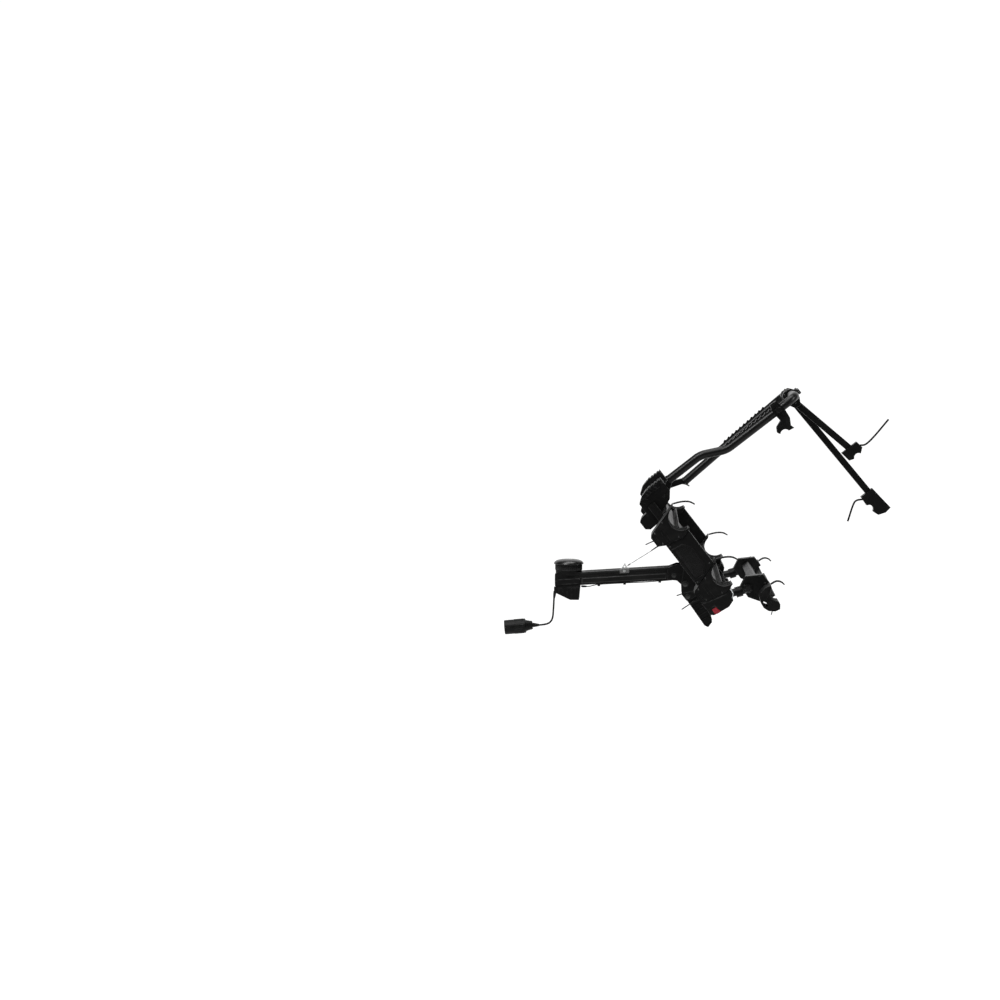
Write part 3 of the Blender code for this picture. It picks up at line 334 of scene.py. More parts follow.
# ---- Coupling head, end cap and knob collar
# Glass-filled nylon mouldings round the ball seat and on the arm's end, spark-eroded to a
# fine satin grain. Ribs stiffen their flanks, and they are snapped and screwed on.
def make_moulded_plastic():
    """Grained black nylon with faint flow marks, dusty hollows and shiny rubbed edges."""
    nylon = Finish("black_moulded_nylon", {"Specular IOR Level": 0.12})
    grain = nylon.noise(1100.0, 3.0)
    pits = nylon.node("ShaderNodeTexVoronoi", {}, {"Vector": nylon.place, "Scale": 700.0}, "Distance")
    flow = nylon.noise(26.0, 4.0, (1.0, 0.35, 1.6))
    patch = nylon.noise(60.0, 4.0)
    rubbed = nylon.edge * nylon.mask(patch, 0.42, 0.60)
    dust = nylon.mask(flow * 0.6 + patch * 0.4, 0.52, 0.70)
    colour = nylon.tint(flow, grey(0.0012), grey(0.0028, 0.03))
    colour = nylon.tint(dust * 0.05, colour, (0.032, 0.030, 0.027, 1.0))
    colour = nylon.tint(rubbed * 0.6, colour, grey(0.036))
    nylon.shade({"Base Color": colour,
                 "Roughness": 0.40 + 0.12 * flow + 0.16 * dust - 0.12 * rubbed,
                 "Normal": nylon.bump(0.6 * grain + 0.5 * pits, 0.00010)})
    return nylon


moulded = make_moulded_plastic()
HEAD_FRONT_X = -0.036
HEAD_REAR_X = 0.057
HEAD_HALF_WIDTH = 0.040
KNOB_X = 0.012
COLLAR_RADIUS = 0.049
COLLAR_TOP = 0.061

head = Shape()
head.carry("coupling_head", 0.0008)
for _, side in SIDES:
    low, high = across(side, HEAD_HALF_WIDTH - 0.001, HEAD_HALF_WIDTH + 0.0016)
    for x in (-0.026, -0.010, 0.006, 0.022, 0.038):
        foot = -0.022 if x < 0.0 else -0.044
        head.plate([(x, foot), (x + 0.004, foot), (x + 0.004, -0.006), (x, -0.006)], low, high, 0.0009)
    rail_low, rail_high = across(side, HEAD_HALF_WIDTH - 0.001, HEAD_HALF_WIDTH + 0.0045)
    head.plate(arm_band(HEAD_FRONT_X + 0.006, HEAD_REAR_X - 0.001, 0.0060, 0.0265), rail_low, rail_high,
               0.0045, 5)
    head.plate([(HEAD_FRONT_X + 0.002, -0.009), (HEAD_REAR_X - 0.003, -0.004),
                (HEAD_REAR_X - 0.003, 0.001), (HEAD_FRONT_X + 0.002, -0.004)], low, high, 0.0010)
piece("coupling_housing", head, moulded, "hitch", ["coupling_head"])

cap = Shape()
cap_rear = -0.0333
cap.plate(arm_band(cap_rear - 0.006, cap_rear, 0.0005, ARM_HEIGHT - 0.0005),
          -ARM_HALF_WIDTH, ARM_HALF_WIDTH, 0.0022, 3)
for y in (-0.026, -0.013, 0.0, 0.013, 0.026):
    cap.plate(arm_band(cap_rear - 0.0068, cap_rear - 0.005, 0.006, ARM_HEIGHT - 0.006),
              y - 0.002, y + 0.002, 0.0006)
piece("arm_front_cap", cap, moulded, "hitch", ["arm_end_cap"])

collar = Shape()
collar.carry("knob_collar", 0.0007)
for step in range(40):
    angle = 2 * math.pi * step / 40
    if abs(math.sin(angle)) > 0.86:
        continue
    spoke = Matrix.Translation((KNOB_X, 0.0, 0.0)) @ Matrix.Rotation(angle, 4, "Z")
    collar.place = spoke
    collar.block((COLLAR_RADIUS - 0.001, -0.0011, COLLAR_TOP - 0.0075),
                 (COLLAR_RADIUS + 0.0009, 0.0011, COLLAR_TOP - 0.0008), 0.0005)
piece("collar_ring", collar, moulded, "hitch", ["knob_collar"])


# ---- Clamping knob
# A domed cap of glossier nylon over a fluted skirt, keyed on the clamping screw. Turned
# knobs like this are moulded in one piece, with the dome and the flutes both polished.
def make_gloss_plastic():
    """Polished black nylon with hairline scratches round the dome."""
    gloss = Finish("black_gloss_nylon", {"Specular IOR Level": 0.34})
    scratch = gloss.noise(900.0, 3.0, (1.0, 0.06, 1.0))
    cloud = gloss.noise(34.0, 3.0)
    mark = gloss.mask(scratch, 0.58, 0.66)
    rubbed = gloss.edge * gloss.mask(cloud, 0.40, 0.62)
    colour = gloss.tint(cloud, grey(0.0012), grey(0.0026))
    colour = gloss.tint(rubbed * 0.5, colour, grey(0.045))
    gloss.shade({"Base Color": colour,
                 "Roughness": 0.20 + 0.10 * cloud + 0.16 * mark,
                 "Normal": gloss.bump(scratch, 0.000015)})
    return gloss


gloss = make_gloss_plastic()
KNOB_LOW = 0.0613
KNOB_RIM = 0.086
KNOB_TOP = 0.103
KNOB_RADIUS = 0.057

knob = Shape()
dome = [(0.0002, KNOB_TOP), (0.012, KNOB_TOP - 0.0002), (0.0285, KNOB_TOP - 0.0012),
        (0.0300, KNOB_TOP - 0.0024), (0.0315, KNOB_TOP - 0.0016), (0.0400, KNOB_TOP - 0.0032),
        (0.0470, KNOB_TOP - 0.0056), (0.0520, KNOB_TOP - 0.0088), (0.0550, KNOB_TOP - 0.0125),
        (KNOB_RADIUS - 0.0004, KNOB_TOP - 0.0152), (KNOB_RADIUS, KNOB_RIM),
        (KNOB_RADIUS - 0.001, KNOB_RIM - 0.0018),
        (0.0530, KNOB_RIM - 0.0030), (0.0500, KNOB_RIM - 0.0034)]
knob.turned(dome, (KNOB_X, 0, 0), (KNOB_X, 0, 1), 96)
piece("knob_dome", knob, gloss, "knob", ["clamp_knob"])

skirt = Shape()
skirt.turned([(0.044, KNOB_LOW), (0.0505, KNOB_LOW), (0.0519, KNOB_LOW + 0.0014),
              (0.0519, KNOB_RIM - 0.0050), (0.0505, KNOB_RIM - 0.0030), (0.0440, KNOB_RIM - 0.0030)],
             (KNOB_X, 0, 0), (KNOB_X, 0, 1), 320, 40, 0.0024)
piece("knob_skirt", skirt, gloss, "knob")


# ---- Clamping screw, ball pad and pivot hardware
# The screw's visible shank and the pad that presses on the ball are bright zinc plate. The tilt
# axle and the fasteners are black zinc, and the folded pivot brackets are powder-coated plate.
def make_zinc_plate(name, tone):
    """Passivated zinc: brushed lines, cloudy patches and darker handling marks."""
    zinc = Finish(name, {"Metallic": 1.0})
    line = zinc.noise(300.0, 3.0, (0.08, 1.0, 1.0))
    cloud = zinc.noise(70.0, 4.0)
    stain = zinc.mask(zinc.noise(130.0, 5.0), 0.56, 0.70)
    colour = zinc.tint(cloud, grey(0.82 * tone), grey(tone, 0.03))
    colour = zinc.tint(stain * 0.6, colour, grey(0.44 * tone, 0.06))
    zinc.shade({"Base Color": colour,
                "Roughness": 0.22 + 0.16 * line + 0.18 * stain,
                "Normal": zinc.bump(line + 0.4 * cloud, 0.00008)})
    return zinc


zinc = make_zinc_plate("bright_zinc_plate", 0.60)
black_zinc = make_zinc_plate("black_zinc_plate", 0.055)
PIVOT = (0.455, 0.016)
BRACKET_BOLT = (0.412, 0.047)
BRACKET_INNER = 0.0383
BRACKET_OUTER = 0.0433


def arc(centre, radius, start, end, steps):
    """Points on a circle in the side view, angles in degrees."""
    turns = [math.radians(start + (end - start) * i / steps) for i in range(steps + 1)]
    return [(centre[0] + radius * math.cos(a), centre[1] + radius * math.sin(a)) for a in turns]


screw = Shape()
thread = [(0.0070, 0.033)]
for turn in range(16):
    thread += [(0.0079, 0.0345 + 0.0015 * turn), (0.0070, 0.0352 + 0.0015 * turn)]
thread += [(0.0079, 0.060), (0.0079, 0.079)]
screw.turned(thread, (KNOB_X, 0, 0), (KNOB_X, 0, 1), 32)
piece("clamping_screw", screw, zinc, "knob", ["clamp_spindle"])

pad = Shape()
pad.carry("ball_pad", 0.0006)
piece("ball_pressing_pad", pad, zinc, "pad", ["ball_pad"])

bracket_front = BRACKET_BOLT[0] - 0.024
bracket_outline = ([(bracket_front, arm_bottom(bracket_front) + 0.002), (0.423, arm_bottom(0.427) - 0.004)]
                   + arc(PIVOT, 0.014, -110, 10, 12)
                   + [(PIVOT[0] + 0.012, 0.050), (0.441, 0.088), (0.421, 0.088),
                      (bracket_front, arm_top(bracket_front) - 0.002)])


def hex_head(shape, centre, side, y, across_flats, height):
    """Washer and hexagon, standing out from a face at y on one side."""
    x, z = centre
    washer = across_flats * 0.66
    shape.turned([(washer - 0.0004, 0.0), (washer, 0.0003), (washer, height * 0.28), (0.001, height * 0.32)],
                 (x, side * y, z), (x, side * (y + 1), z), 40)
    corner = across_flats * 0.577
    shape.turned([(corner * 0.98, height * 0.25), (corner, height * 0.4), (corner, height * 0.85),
                  (corner * 0.88, height), (corner * 0.45, height), (corner * 0.40, height * 0.86)],
                 (x, side * y, z), (x, side * (y + 1), z), 6)


for name, side in SIDES:
    bracket = Shape()
    low, high = across(side, BRACKET_INNER, BRACKET_OUTER)
    bracket.plate(bracket_outline, low, high, 0.0012)
    piece(f"pivot_plate_{name}", bracket, powder_coat, "hitch", [f"pivot_bracket_{name}"])

bolts = Shape()
bolts.rod((BRACKET_BOLT[0], -0.0436, BRACKET_BOLT[1]), (BRACKET_BOLT[0], 0.0436, BRACKET_BOLT[1]), 0.0049)
for _, side in SIDES:
    hex_head(bolts, BRACKET_BOLT, side, 0.0434, 0.0145, 0.0026)
piece("bracket_fastener", bolts, black_zinc, "hitch", ["bracket_bolt"])

axle = Shape()
axle.rod((PIVOT[0], -0.0535, PIVOT[1]), (PIVOT[0], 0.0535, PIVOT[1]), 0.0079)
for _, side in SIDES:
    hex_head(axle, PIVOT, side, 0.0527, 0.0180, 0.0056)
piece("tilt_axle", axle, black_zinc, "hitch", ["pivot_shaft"])


# ---- Cable hook and its clamp
# A grey moulded clamp sits over the arm's near upper edge and carries a small pale
# hook plate with an eye, which keeps the stop cable off the arm.
def make_pale_plastic(name, dark, light):
    """Pale moulded plastic, slightly soiled in patches."""
    pale = Finish(name, {"Specular IOR Level": 0.4})
    grain = pale.noise(900.0, 3.0)
    soil = pale.mask(pale.noise(70.0, 5.0), 0.46, 0.72)
    colour = pale.tint(soil, light, dark)
    pale.shade({"Base Color": colour, "Roughness": 0.38 + 0.16 * soil + 0.06 * grain,
                "Normal": pale.bump(grain, 0.00012)})
    return pale


clamp_grey = make_pale_plastic("grey_moulded_plastic", grey(0.045), grey(0.085))
hook_white = make_pale_plastic("white_moulded_plastic", grey(0.30, 0.04), grey(0.46))
CLAMP_X = 0.225
CLAMP_HALF = 0.018
CLAMP_FACE = 0.0383

clamp = Shape()
clamp.plate(arm_band(CLAMP_X - CLAMP_HALF, CLAMP_X + CLAMP_HALF, 0.036, ARM_HEIGHT + 0.003),
            -CLAMP_FACE - 0.004, -CLAMP_FACE, 0.0012)
clamp.plate(arm_band(CLAMP_X - CLAMP_HALF, CLAMP_X + CLAMP_HALF, ARM_HEIGHT + 0.0003, ARM_HEIGHT + 0.003),
            -CLAMP_FACE - 0.003, -0.012, 0.0010)
for x in (-0.012, 0.012):
    clamp.plate(arm_band(CLAMP_X + x - 0.002, CLAMP_X + x + 0.002, 0.038, ARM_HEIGHT + 0.001),
                -CLAMP_FACE - 0.0052, -CLAMP_FACE - 0.003, 0.0008)
piece("hook_saddle", clamp, clamp_grey, "hitch", ["hook_clamp"])

hook = Shape()
hook.carry("cable_hook", 0.0008)
piece("hook_plate", hook, hook_white, "hitch", ["cable_hook"])

saddle_screw = Shape()
hex_head(saddle_screw, (CLAMP_X, arm_bottom(CLAMP_X) + 0.044), -1, CLAMP_FACE + 0.0038, 0.0070, 0.0022)
piece("saddle_screw", saddle_screw, zinc, "hitch", ())


# ---- Lamp loom
# Two-core lead to the lamps, held along the arm's underside by three moulded clips and
# sleeved where it leaves the coupling.
def make_soft_vinyl():
    """Matt black vinyl with a slight bloom."""
    vinyl = Finish("black_vinyl", {"Specular IOR Level": 0.14})
    grain = vinyl.noise(800.0, 3.0)
    bloom = vinyl.mask(vinyl.noise(50.0, 4.0), 0.45, 0.75)
    colour = vinyl.tint(bloom, grey(0.0035), grey(0.010, 0.03))
    vinyl.shade({"Base Color": colour, "Roughness": 0.50 + 0.20 * bloom,
                 "Normal": vinyl.bump(grain, 0.00010)})
    return vinyl


vinyl = make_soft_vinyl()


def smooth_route(points, spacing):
    """Evenly spaced points on a smooth curve through the route's own points."""
    route = [Vector(point) for point in points]
    ends = [2 * route[0] - route[1]] + route + [2 * route[-1] - route[-2]]
    fine = []
    for i in range(len(route) - 1):
        p0, p1, p2, p3 = ends[i:i + 4]
        for step in range(40):
            t = step / 40
            fine.append(0.5 * (2 * p1 + (p2 - p0) * t + (2 * p0 - 5 * p1 + 4 * p2 - p3) * t ** 2
                               + (3 * p1 - p0 - 3 * p2 + p3) * t ** 3))
    fine.append(route[-1])
    total = sum((b - a).length for a, b in zip(fine, fine[1:]))
    count = max(2, round(total / spacing))
    picked = [fine[0]]
    walked = 0.0
    for a, b in zip(fine, fine[1:]):
        walked += (b - a).length
        if walked >= len(picked) * total / count and len(picked) < count:
            picked.append(b)
    picked.append(fine[-1])
    return picked


LOOM_DROP = 0.0065
LOOM_Y = 0.010
CORE_RADIUS = 0.0016
CLIP_PLACES = (0.127, 0.225, 0.359)
loom_route = [(HEAD_REAR_X + 0.003, 0.020, -0.004), (0.090, 0.014, arm_bottom(0.090) - 0.012),
              (0.127, LOOM_Y, arm_bottom(0.127) - LOOM_DROP), (0.225, LOOM_Y, arm_bottom(0.225) - LOOM_DROP),
              (0.300, LOOM_Y, arm_bottom(0.300) - LOOM_DROP - 0.001),
              (0.359, LOOM_Y, arm_bottom(0.359) - LOOM_DROP),
              (0.395, LOOM_Y, arm_bottom(0.395) - LOOM_DROP + 0.001),
              (0.424, LOOM_Y, arm_bottom(0.427) - LOOM_DROP + 0.002)]
loom_path = smooth_route(loom_route, 0.005)
loom = Shape()
for core in (-1, 1):
    loom.tube([point + Vector((0.0, core * CORE_RADIUS, 0.0)) for point in loom_path], CORE_RADIUS, 12)
loom.tube(loom_path[:5], [0.0036, 0.0038, 0.0037, 0.0034, 0.0030], 16)
piece("lamp_lead", loom, vinyl, "hitch", ["lamp_loom"])
for number, x in enumerate(CLIP_PLACES, start=1):
    clip = Shape()
    clip.carry(f"loom_clip_{number}", 0.0006)
    piece(f"lead_clip_{number}", clip, moulded, "hitch", [f"loom_clip_{number}"])


# ---- Socket lead and plug
# A round vinyl lead drops from the coupling and turns forward to the plug for the car's
# socket. Tapered rubber sleeves relieve it at the gland and at the plug's grip.
CORD_RADIUS = 0.0035
cord_route = [(-0.0402, 0.0, -0.0213), (-0.044, 0.0, -0.050), (-0.046, 0.0, -0.087),
              (-0.050, 0.0, -0.125), (-0.064, 0.0, -0.144), (-0.092, 0.0, -0.151), (-0.1255, 0.0, -0.152)]
cord_path = smooth_route(cord_route, 0.005)
cord_length = sum((b - a).length for a, b in zip(cord_path, cord_path[1:]))


def sleeve(shape, path, start_radius, end_radius, ring_step=2):
    """Tapered sleeve along a lead, ringed so that it bends without kinking."""
    radii = []
    for i in range(len(path)):
        share = i / (len(path) - 1)
        ring = 0.0008 if i % ring_step == 0 and 0 < i < len(path) - 1 else 0.0
        radii.append(start_radius + (end_radius - start_radius) * share + ring)
    shape.tube(path, radii, 20)


lead = Shape()
lead.tube(cord_path, CORD_RADIUS, 20)
lead_piece = piece("socket_lead", lead, vinyl, "hitch", ["plug_cord"])
fine_path = smooth_route(cord_route, 0.0016)
relief = Shape()
sleeve(relief, fine_path[:17], 0.0060, 0.0039)
relief_piece = piece("gland_sleeve", relief, vinyl, "hitch")

PLUG_X = -0.1258
PLUG_Z = -0.152
PLUG_TIP = (PLUG_X - 0.108, 0.0, PLUG_Z - 0.010)
plug = Shape()
plug_start = (PLUG_X, 0.0, PLUG_Z)
plug.turned([(0.0085, 0.0), (0.0155, 0.0006), (0.0162, 0.002), (0.0175, 0.008), (0.0168, 0.0092),
             (0.0178, 0.0104), (0.0192, 0.0155), (0.0184, 0.0167), (0.0196, 0.0180), (0.0216, 0.0250),
             (0.0240, 0.0262), (0.0272, 0.0270), (0.0275, 0.0290), (0.0275, 0.0980), (0.0272, 0.1068),
             (0.0262, 0.1077), (0.0240, 0.1077), (0.0236, 0.1066), (0.0235, 0.0620), (0.0010, 0.0600)],
            plug_start, PLUG_TIP, 72)
for step in range(24):
    angle = 2 * math.pi * step / 24
    axis = (Vector(PLUG_TIP) - Vector(plug_start)).normalized()
    lean = axis.to_track_quat("Z", "Y").to_matrix().to_4x4()
    plug.place = Matrix.Translation(plug_start) @ lean @ Matrix.Rotation(angle, 4, "Z")
    plug.block((0.0268, -0.0014, 0.034), (0.0284, 0.0014, 0.070), 0.0006)
plug.place = Matrix.Translation(plug_start) @ lean
plug.block((0.0262, -0.0035, 0.080), (0.0296, 0.0035, 0.106), 0.0008)
plug_piece = piece("plug_body", plug, moulded, "hitch", ["plug"])

pins = Shape(Matrix.Translation(plug_start) @ lean)
for step in range(7):
    angle = 2 * math.pi * step / 6
    reach = 0.0 if step == 6 else 0.0125
    start = Vector((reach * math.cos(angle), reach * math.sin(angle), 0.0598))
    pins.turned([(0.0017, 0.0), (0.0017, 0.030), (0.0012, 0.0325), (0.0004, 0.0332)], start,
                start + Vector((0.0, 0.0, 1.0)), 16)
pins_piece = piece("plug_contacts", pins, zinc, "hitch", ())
grip_sleeve = Shape()
sleeve(grip_sleeve, fine_path[:-18:-1], 0.0088, 0.0041)
grip_sleeve_piece = piece("plug_sleeve", grip_sleeve, vinyl, "hitch")


# ---- Welded platform frame
# Square steel tubes and a deep folded spine, MIG-welded and powder-coated as one frame. It
# hangs on the tilt axle, and moulded plugs close its tube ends.
TILT = math.radians(52.0)
platform = Matrix.Translation((PIVOT[0], 0.0, PIVOT[1])) @ Matrix.Rotation(TILT, 4, "Y")
FRAME_TOP = 0.1085
FRAME_TUBE = 0.0295
SPINE_FRONT = -0.300
SPINE_REAR = 0.0855
SPINE_INNER = 0.0475
SPINE_OUTER = 0.0525
RAIL_Y = 0.340
RAIL_FRONT = -0.330
RAIL_REAR = 0.120
BEAMS = (-0.175, 0.030)


def round_square(centre, half, radius, steps=4):
    """Square with rounded corners, as pairs round a centre."""
    outline = []
    for quarter in range(4):
        corner = 45 + 90 * quarter
        x = centre[0] + (half - radius) * math.copysign(1, math.cos(math.radians(corner)))
        z = centre[1] + (half - radius) * math.copysign(1, math.sin(math.radians(corner)))
        outline += arc((x, z), radius, corner - 45, corner + 45, steps)
    return outline


def bead(shape, start, end, radius=0.0019):
    """Rippled weld bead along a joint."""
    start = Vector(start)
    end = Vector(end)
    count = max(4, round((end - start).length / 0.0014))
    path = [start.lerp(end, i / count) for i in range(count + 1)]
    radii = [radius * (1.0 + 0.14 * math.cos(2.1 * i) + 0.08 * math.sin(0.7 * i)) for i in range(count + 1)]
    shape.tube(path, radii, 8)


body_frame = Shape(platform)
beam_mid = FRAME_TOP - FRAME_TUBE / 2
body_frame.plate([(SPINE_FRONT, FRAME_TOP - 0.006), (SPINE_REAR, FRAME_TOP - 0.006),
                  (SPINE_REAR, FRAME_TOP - 0.0002), (SPINE_FRONT, FRAME_TOP - 0.0002)],
                 -SPINE_OUTER, SPINE_OUTER, 0.0020, 3)
flange = ([(SPINE_FRONT, FRAME_TOP - 0.001), (SPINE_FRONT, 0.064), (-0.200, 0.044), (-0.150, 0.040),
           (-0.050, 0.030)] + arc((0, 0), 0.016, 200, 250, 6)
          + [(0.024, -0.036), (0.054, -0.036), (0.060, -0.012), (0.064, 0.040), (SPINE_REAR, 0.060),
             (SPINE_REAR, FRAME_TOP - 0.001)])
for _, side in SIDES:
    low, high = across(side, SPINE_INNER, SPINE_OUTER)
    body_frame.plate(flange, low, high, 0.0014)
    rail = round_square((side * RAIL_Y, beam_mid), FRAME_TUBE / 2, 0.0035)
    body_frame.loft([[(u, y, v) for y, v in rail] for u in (RAIL_FRONT, RAIL_REAR)])
    rail_face = side * (RAIL_Y - FRAME_TUBE / 2)
    for u in BEAMS:
        for seam_u in (u - 0.0008, u + FRAME_TUBE + 0.0008):
            bead(body_frame, (seam_u, rail_face, FRAME_TOP - FRAME_TUBE + 0.003),
                 (seam_u, rail_face, FRAME_TOP - 0.003))
            bead(body_frame, (seam_u, side * SPINE_OUTER, FRAME_TOP - FRAME_TUBE),
                 (seam_u, side * SPINE_OUTER, FRAME_TOP - 0.008))
        bead(body_frame, (u, rail_face, FRAME_TOP - FRAME_TUBE + 0.0004),
             (u + FRAME_TUBE, rail_face, FRAME_TOP - FRAME_TUBE + 0.0004))
    bead(body_frame, (SPINE_FRONT + 0.010, side * (SPINE_INNER + 0.0002), FRAME_TOP - 0.0070),
         (-0.190, side * (SPINE_INNER + 0.0002), FRAME_TOP - 0.0070))
for u in BEAMS:
    beam = round_square((u + FRAME_TUBE / 2, beam_mid - 0.0003), FRAME_TUBE / 2 - 0.0006, 0.0035)
    body_frame.plate(beam, -RAIL_Y, RAIL_Y, 0.0)
STUD_U = -0.176
STUD_V = 0.052
body_frame.rod((STUD_U, -SPINE_INNER, STUD_V), (STUD_U, -0.0600, STUD_V), 0.004)
piece("platform_weldment", body_frame, powder_coat, "platform", ["frame"])

tube_plugs = Shape(platform)
for _, side in SIDES:
    plug_face = round_square((side * RAIL_Y, beam_mid), FRAME_TUBE / 2 - 0.0006, 0.0035)
    inner_face = round_square((side * RAIL_Y, beam_mid), FRAME_TUBE / 2 - 0.0030, 0.0025)
    tube_plugs.loft([[(u, y, v) for y, v in ring] for u, ring in
                     ((RAIL_FRONT - 0.0002, plug_face), (RAIL_FRONT - 0.0020, plug_face),
                      (RAIL_FRONT - 0.0028, inner_face))])
    tube_plugs.loft([[(u, y, v) for y, v in ring] for u, ring in
                     ((RAIL_REAR + 0.0002, plug_face), (RAIL_REAR + 0.0018, plug_face),
                      (RAIL_REAR + 0.0026, inner_face))])
piece("tube_end_plugs", tube_plugs, moulded, "platform")


# ---- Stop cable
# Six-strand galvanised rope, 2.6 mm, that stops the platform at its loading angle. Pressed
# sleeves close its two eyes, one in the hook plate and one on the frame's stud.
HOOK_END = Vector((0.2347, -0.032, arm_top(0.229) + 0.0135))
STUD_END = platform @ Vector((-0.170, -0.056, STUD_V))
ROPE_RADIUS = 0.0013
STRAND_RADIUS = 0.00046
LAY_LENGTH = 0.010
rope = Shape()
rope_line = STUD_END - HOOK_END
rope_axis = rope_line.normalized()
rope_side = rope_axis.orthogonal().normalized()
rope_lift = rope_axis.cross(rope_side)
rope_steps = round(rope_line.length / LAY_LENGTH * 12)
for strand in range(6):
    path = []
    for i in range(rope_steps + 1):
        walked = rope_line.length * i / rope_steps
        angle = 2 * math.pi * (walked / LAY_LENGTH + strand / 6)
        outward = rope_side * math.cos(angle) + rope_lift * math.sin(angle)
        path.append(HOOK_END + rope_axis * walked + outward * (ROPE_RADIUS - STRAND_RADIUS))
    rope.tube(path, STRAND_RADIUS, 6)
rope.tube([HOOK_END, HOOK_END.lerp(STUD_END, 0.5), STUD_END], 0.0005, 6)
for start, share in ((HOOK_END, 0.0), (STUD_END, 1.0)):
    inward = rope_axis if share == 0.0 else -rope_axis
    rope.turned([(0.0015, 0.0), (0.0024, 0.0006), (0.0026, 0.003), (0.0023, 0.005), (0.0026, 0.007),
                 (0.0024, 0.0094), (0.0015, 0.0100)], start + inward * 0.004, start + inward, 20)
rope_steel = make_zinc_plate("drawn_rope_steel", 0.22)
rope_piece = piece("stop_rope", rope, rope_steel, None, ["stop_cable"])
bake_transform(rope_piece)


# ---- Wheel trays
# Two long aluminium channels across the frame, one for each bike. They are extruded with
# fine ribs along the floor and flanks, sawn to length and powder-coated.
TRAY_PLACES = ((1, -0.250), (2, 0.0))
TRAY_HALF_WIDTH = 0.038
TRAY_WALL = 0.0035
TRAY_LOW = FRAME_TOP + 0.0003
TRAY_DEPTH = 0.0215
TRAY_END = 0.4697


def tray_section(u, v, half_width):
    """Channel section with rounded lips and foot corners."""
    left = [(u - half_width + TRAY_WALL, v + TRAY_WALL)]
    left += arc((u - half_width + TRAY_WALL / 2, v + TRAY_DEPTH - TRAY_WALL / 2), TRAY_WALL / 2, 0, 180, 6)
    left += arc((u - half_width + 0.003, v + 0.003), 0.003, 180, 270, 4)
    return left + [(2 * u - a, b) for a, b in left[::-1]]


for number, u in TRAY_PLACES:
    tray = Shape(platform)
    tray.plate(tray_section(u, TRAY_LOW, TRAY_HALF_WIDTH), -TRAY_END, TRAY_END, 0.0)
    floor = TRAY_LOW + TRAY_WALL
    for a in (-0.020, -0.007, 0.005, 0.018):
        tray.block((u + a, -TRAY_END, floor - 0.0004), (u + a + 0.002, TRAY_END, floor + 0.0008), 0.0004)
    for side in (-1, 1):
        face = u + side * TRAY_HALF_WIDTH
        proud = face + side * 0.0007
        for rib_v in (0.006, 0.010, 0.014):
            rib_low = TRAY_LOW + rib_v
            tray.block((min(face, proud) - 0.0002, -TRAY_END, rib_low),
                       (max(face, proud) + 0.0002, TRAY_END, rib_low + 0.0016), 0.0003)
    piece(f"wheel_channel_{number}", tray, powder_coat, "platform", [f"tray_{number}"])


# ---- Wheel holders
# Deep moulded end blocks that cradle the tyre in a polished cup. Each has a framed strap slot
# in its outer face, ribs inside the cup, a ratchet on its rear flank and four screws.
CUP_RADIUS = 0.046
CUP_OFFSET = 0.0045
CUP_V = 0.160
HOLDER_LENGTH = 0.130
HOLDER_INNER = 0.470
HOLDER_OUTER = HOLDER_INNER + HOLDER_LENGTH


def holder_outline(u):
    cup = arc((u + CUP_OFFSET, CUP_V), CUP_RADIUS, -3, -176, 28)
    return ([(u - 0.0485, 0.165), (u - 0.017, 0.062), (u - 0.010, 0.040), (u - 0.002, 0.031),
             (u + 0.036, 0.031), (u + 0.050, 0.056), (u + 0.066, 0.124), (u + 0.053, 0.158)] + cup)


def framed_slot(shape, low_corner, high_corner, side, face):
    """Rectangular rim round a dark slot, standing out of an outer face."""
    (a, v0), (b, v1) = low_corner, high_corner
    rim = 0.0022
    low, high = across(side, face - 0.002, face + 0.0016)
    shape.block((a - rim, low, v0 - rim), (b + rim, high, v0), 0.0004)
    shape.block((a - rim, low, v1), (b + rim, high, v1 + rim), 0.0004)
    shape.block((a - rim, low, v0 - rim), (a, high, v1 + rim), 0.0004)
    shape.block((b, low, v0 - rim), (b + rim, high, v1 + rim), 0.0004)


TAIL_RADIUS = 0.0020
STRAP_TAILS = {
    1: [[(0.020, 0.040), (0.014, 0.020), (0.009, -0.002)],
        [(0.040, 0.046), (0.037, 0.028), (0.036, 0.004)]],
    2: [[(0.006, 0.040), (-0.012, 0.020), (-0.029, -0.026)],
        [(0.030, 0.038), (0.022, 0.010), (0.018, -0.040)]],
}


def draw_in(outline, distance):
    """Outline moved inwards by an even distance."""
    area = sum(a[0] * b[1] - b[0] * a[1] for a, b in zip(outline, outline[1:] + outline[:1]))
    drawn = []
    for before, corner, after in zip(outline[-1:] + outline[:-1], outline, outline[1:] + outline[:1]):
        inward = []
        for start, end in ((before, corner), (corner, after)):
            line = Vector(end) - Vector(start)
            inward.append(Vector((-line.y, line.x)).normalized() * math.copysign(1.0, area))
        middle = (inward[0] + inward[1]).normalized()
        drawn.append(tuple(Vector(corner) + middle * distance / max(0.6, middle.dot(inward[0]))))
    return drawn


def sunk_block(shape, outline, side, inner, outer, rim, sink):
    """Block whose outer face is sunk inside a narrow rim."""
    rings = [(outline, inner), (outline, outer), (draw_in(outline, rim), outer),
             (draw_in(outline, rim + 0.0003), outer - sink)]
    shape.loft([[(x, side * y, z) for x, z in ring] for ring, y in rings], 0.0004, 2)


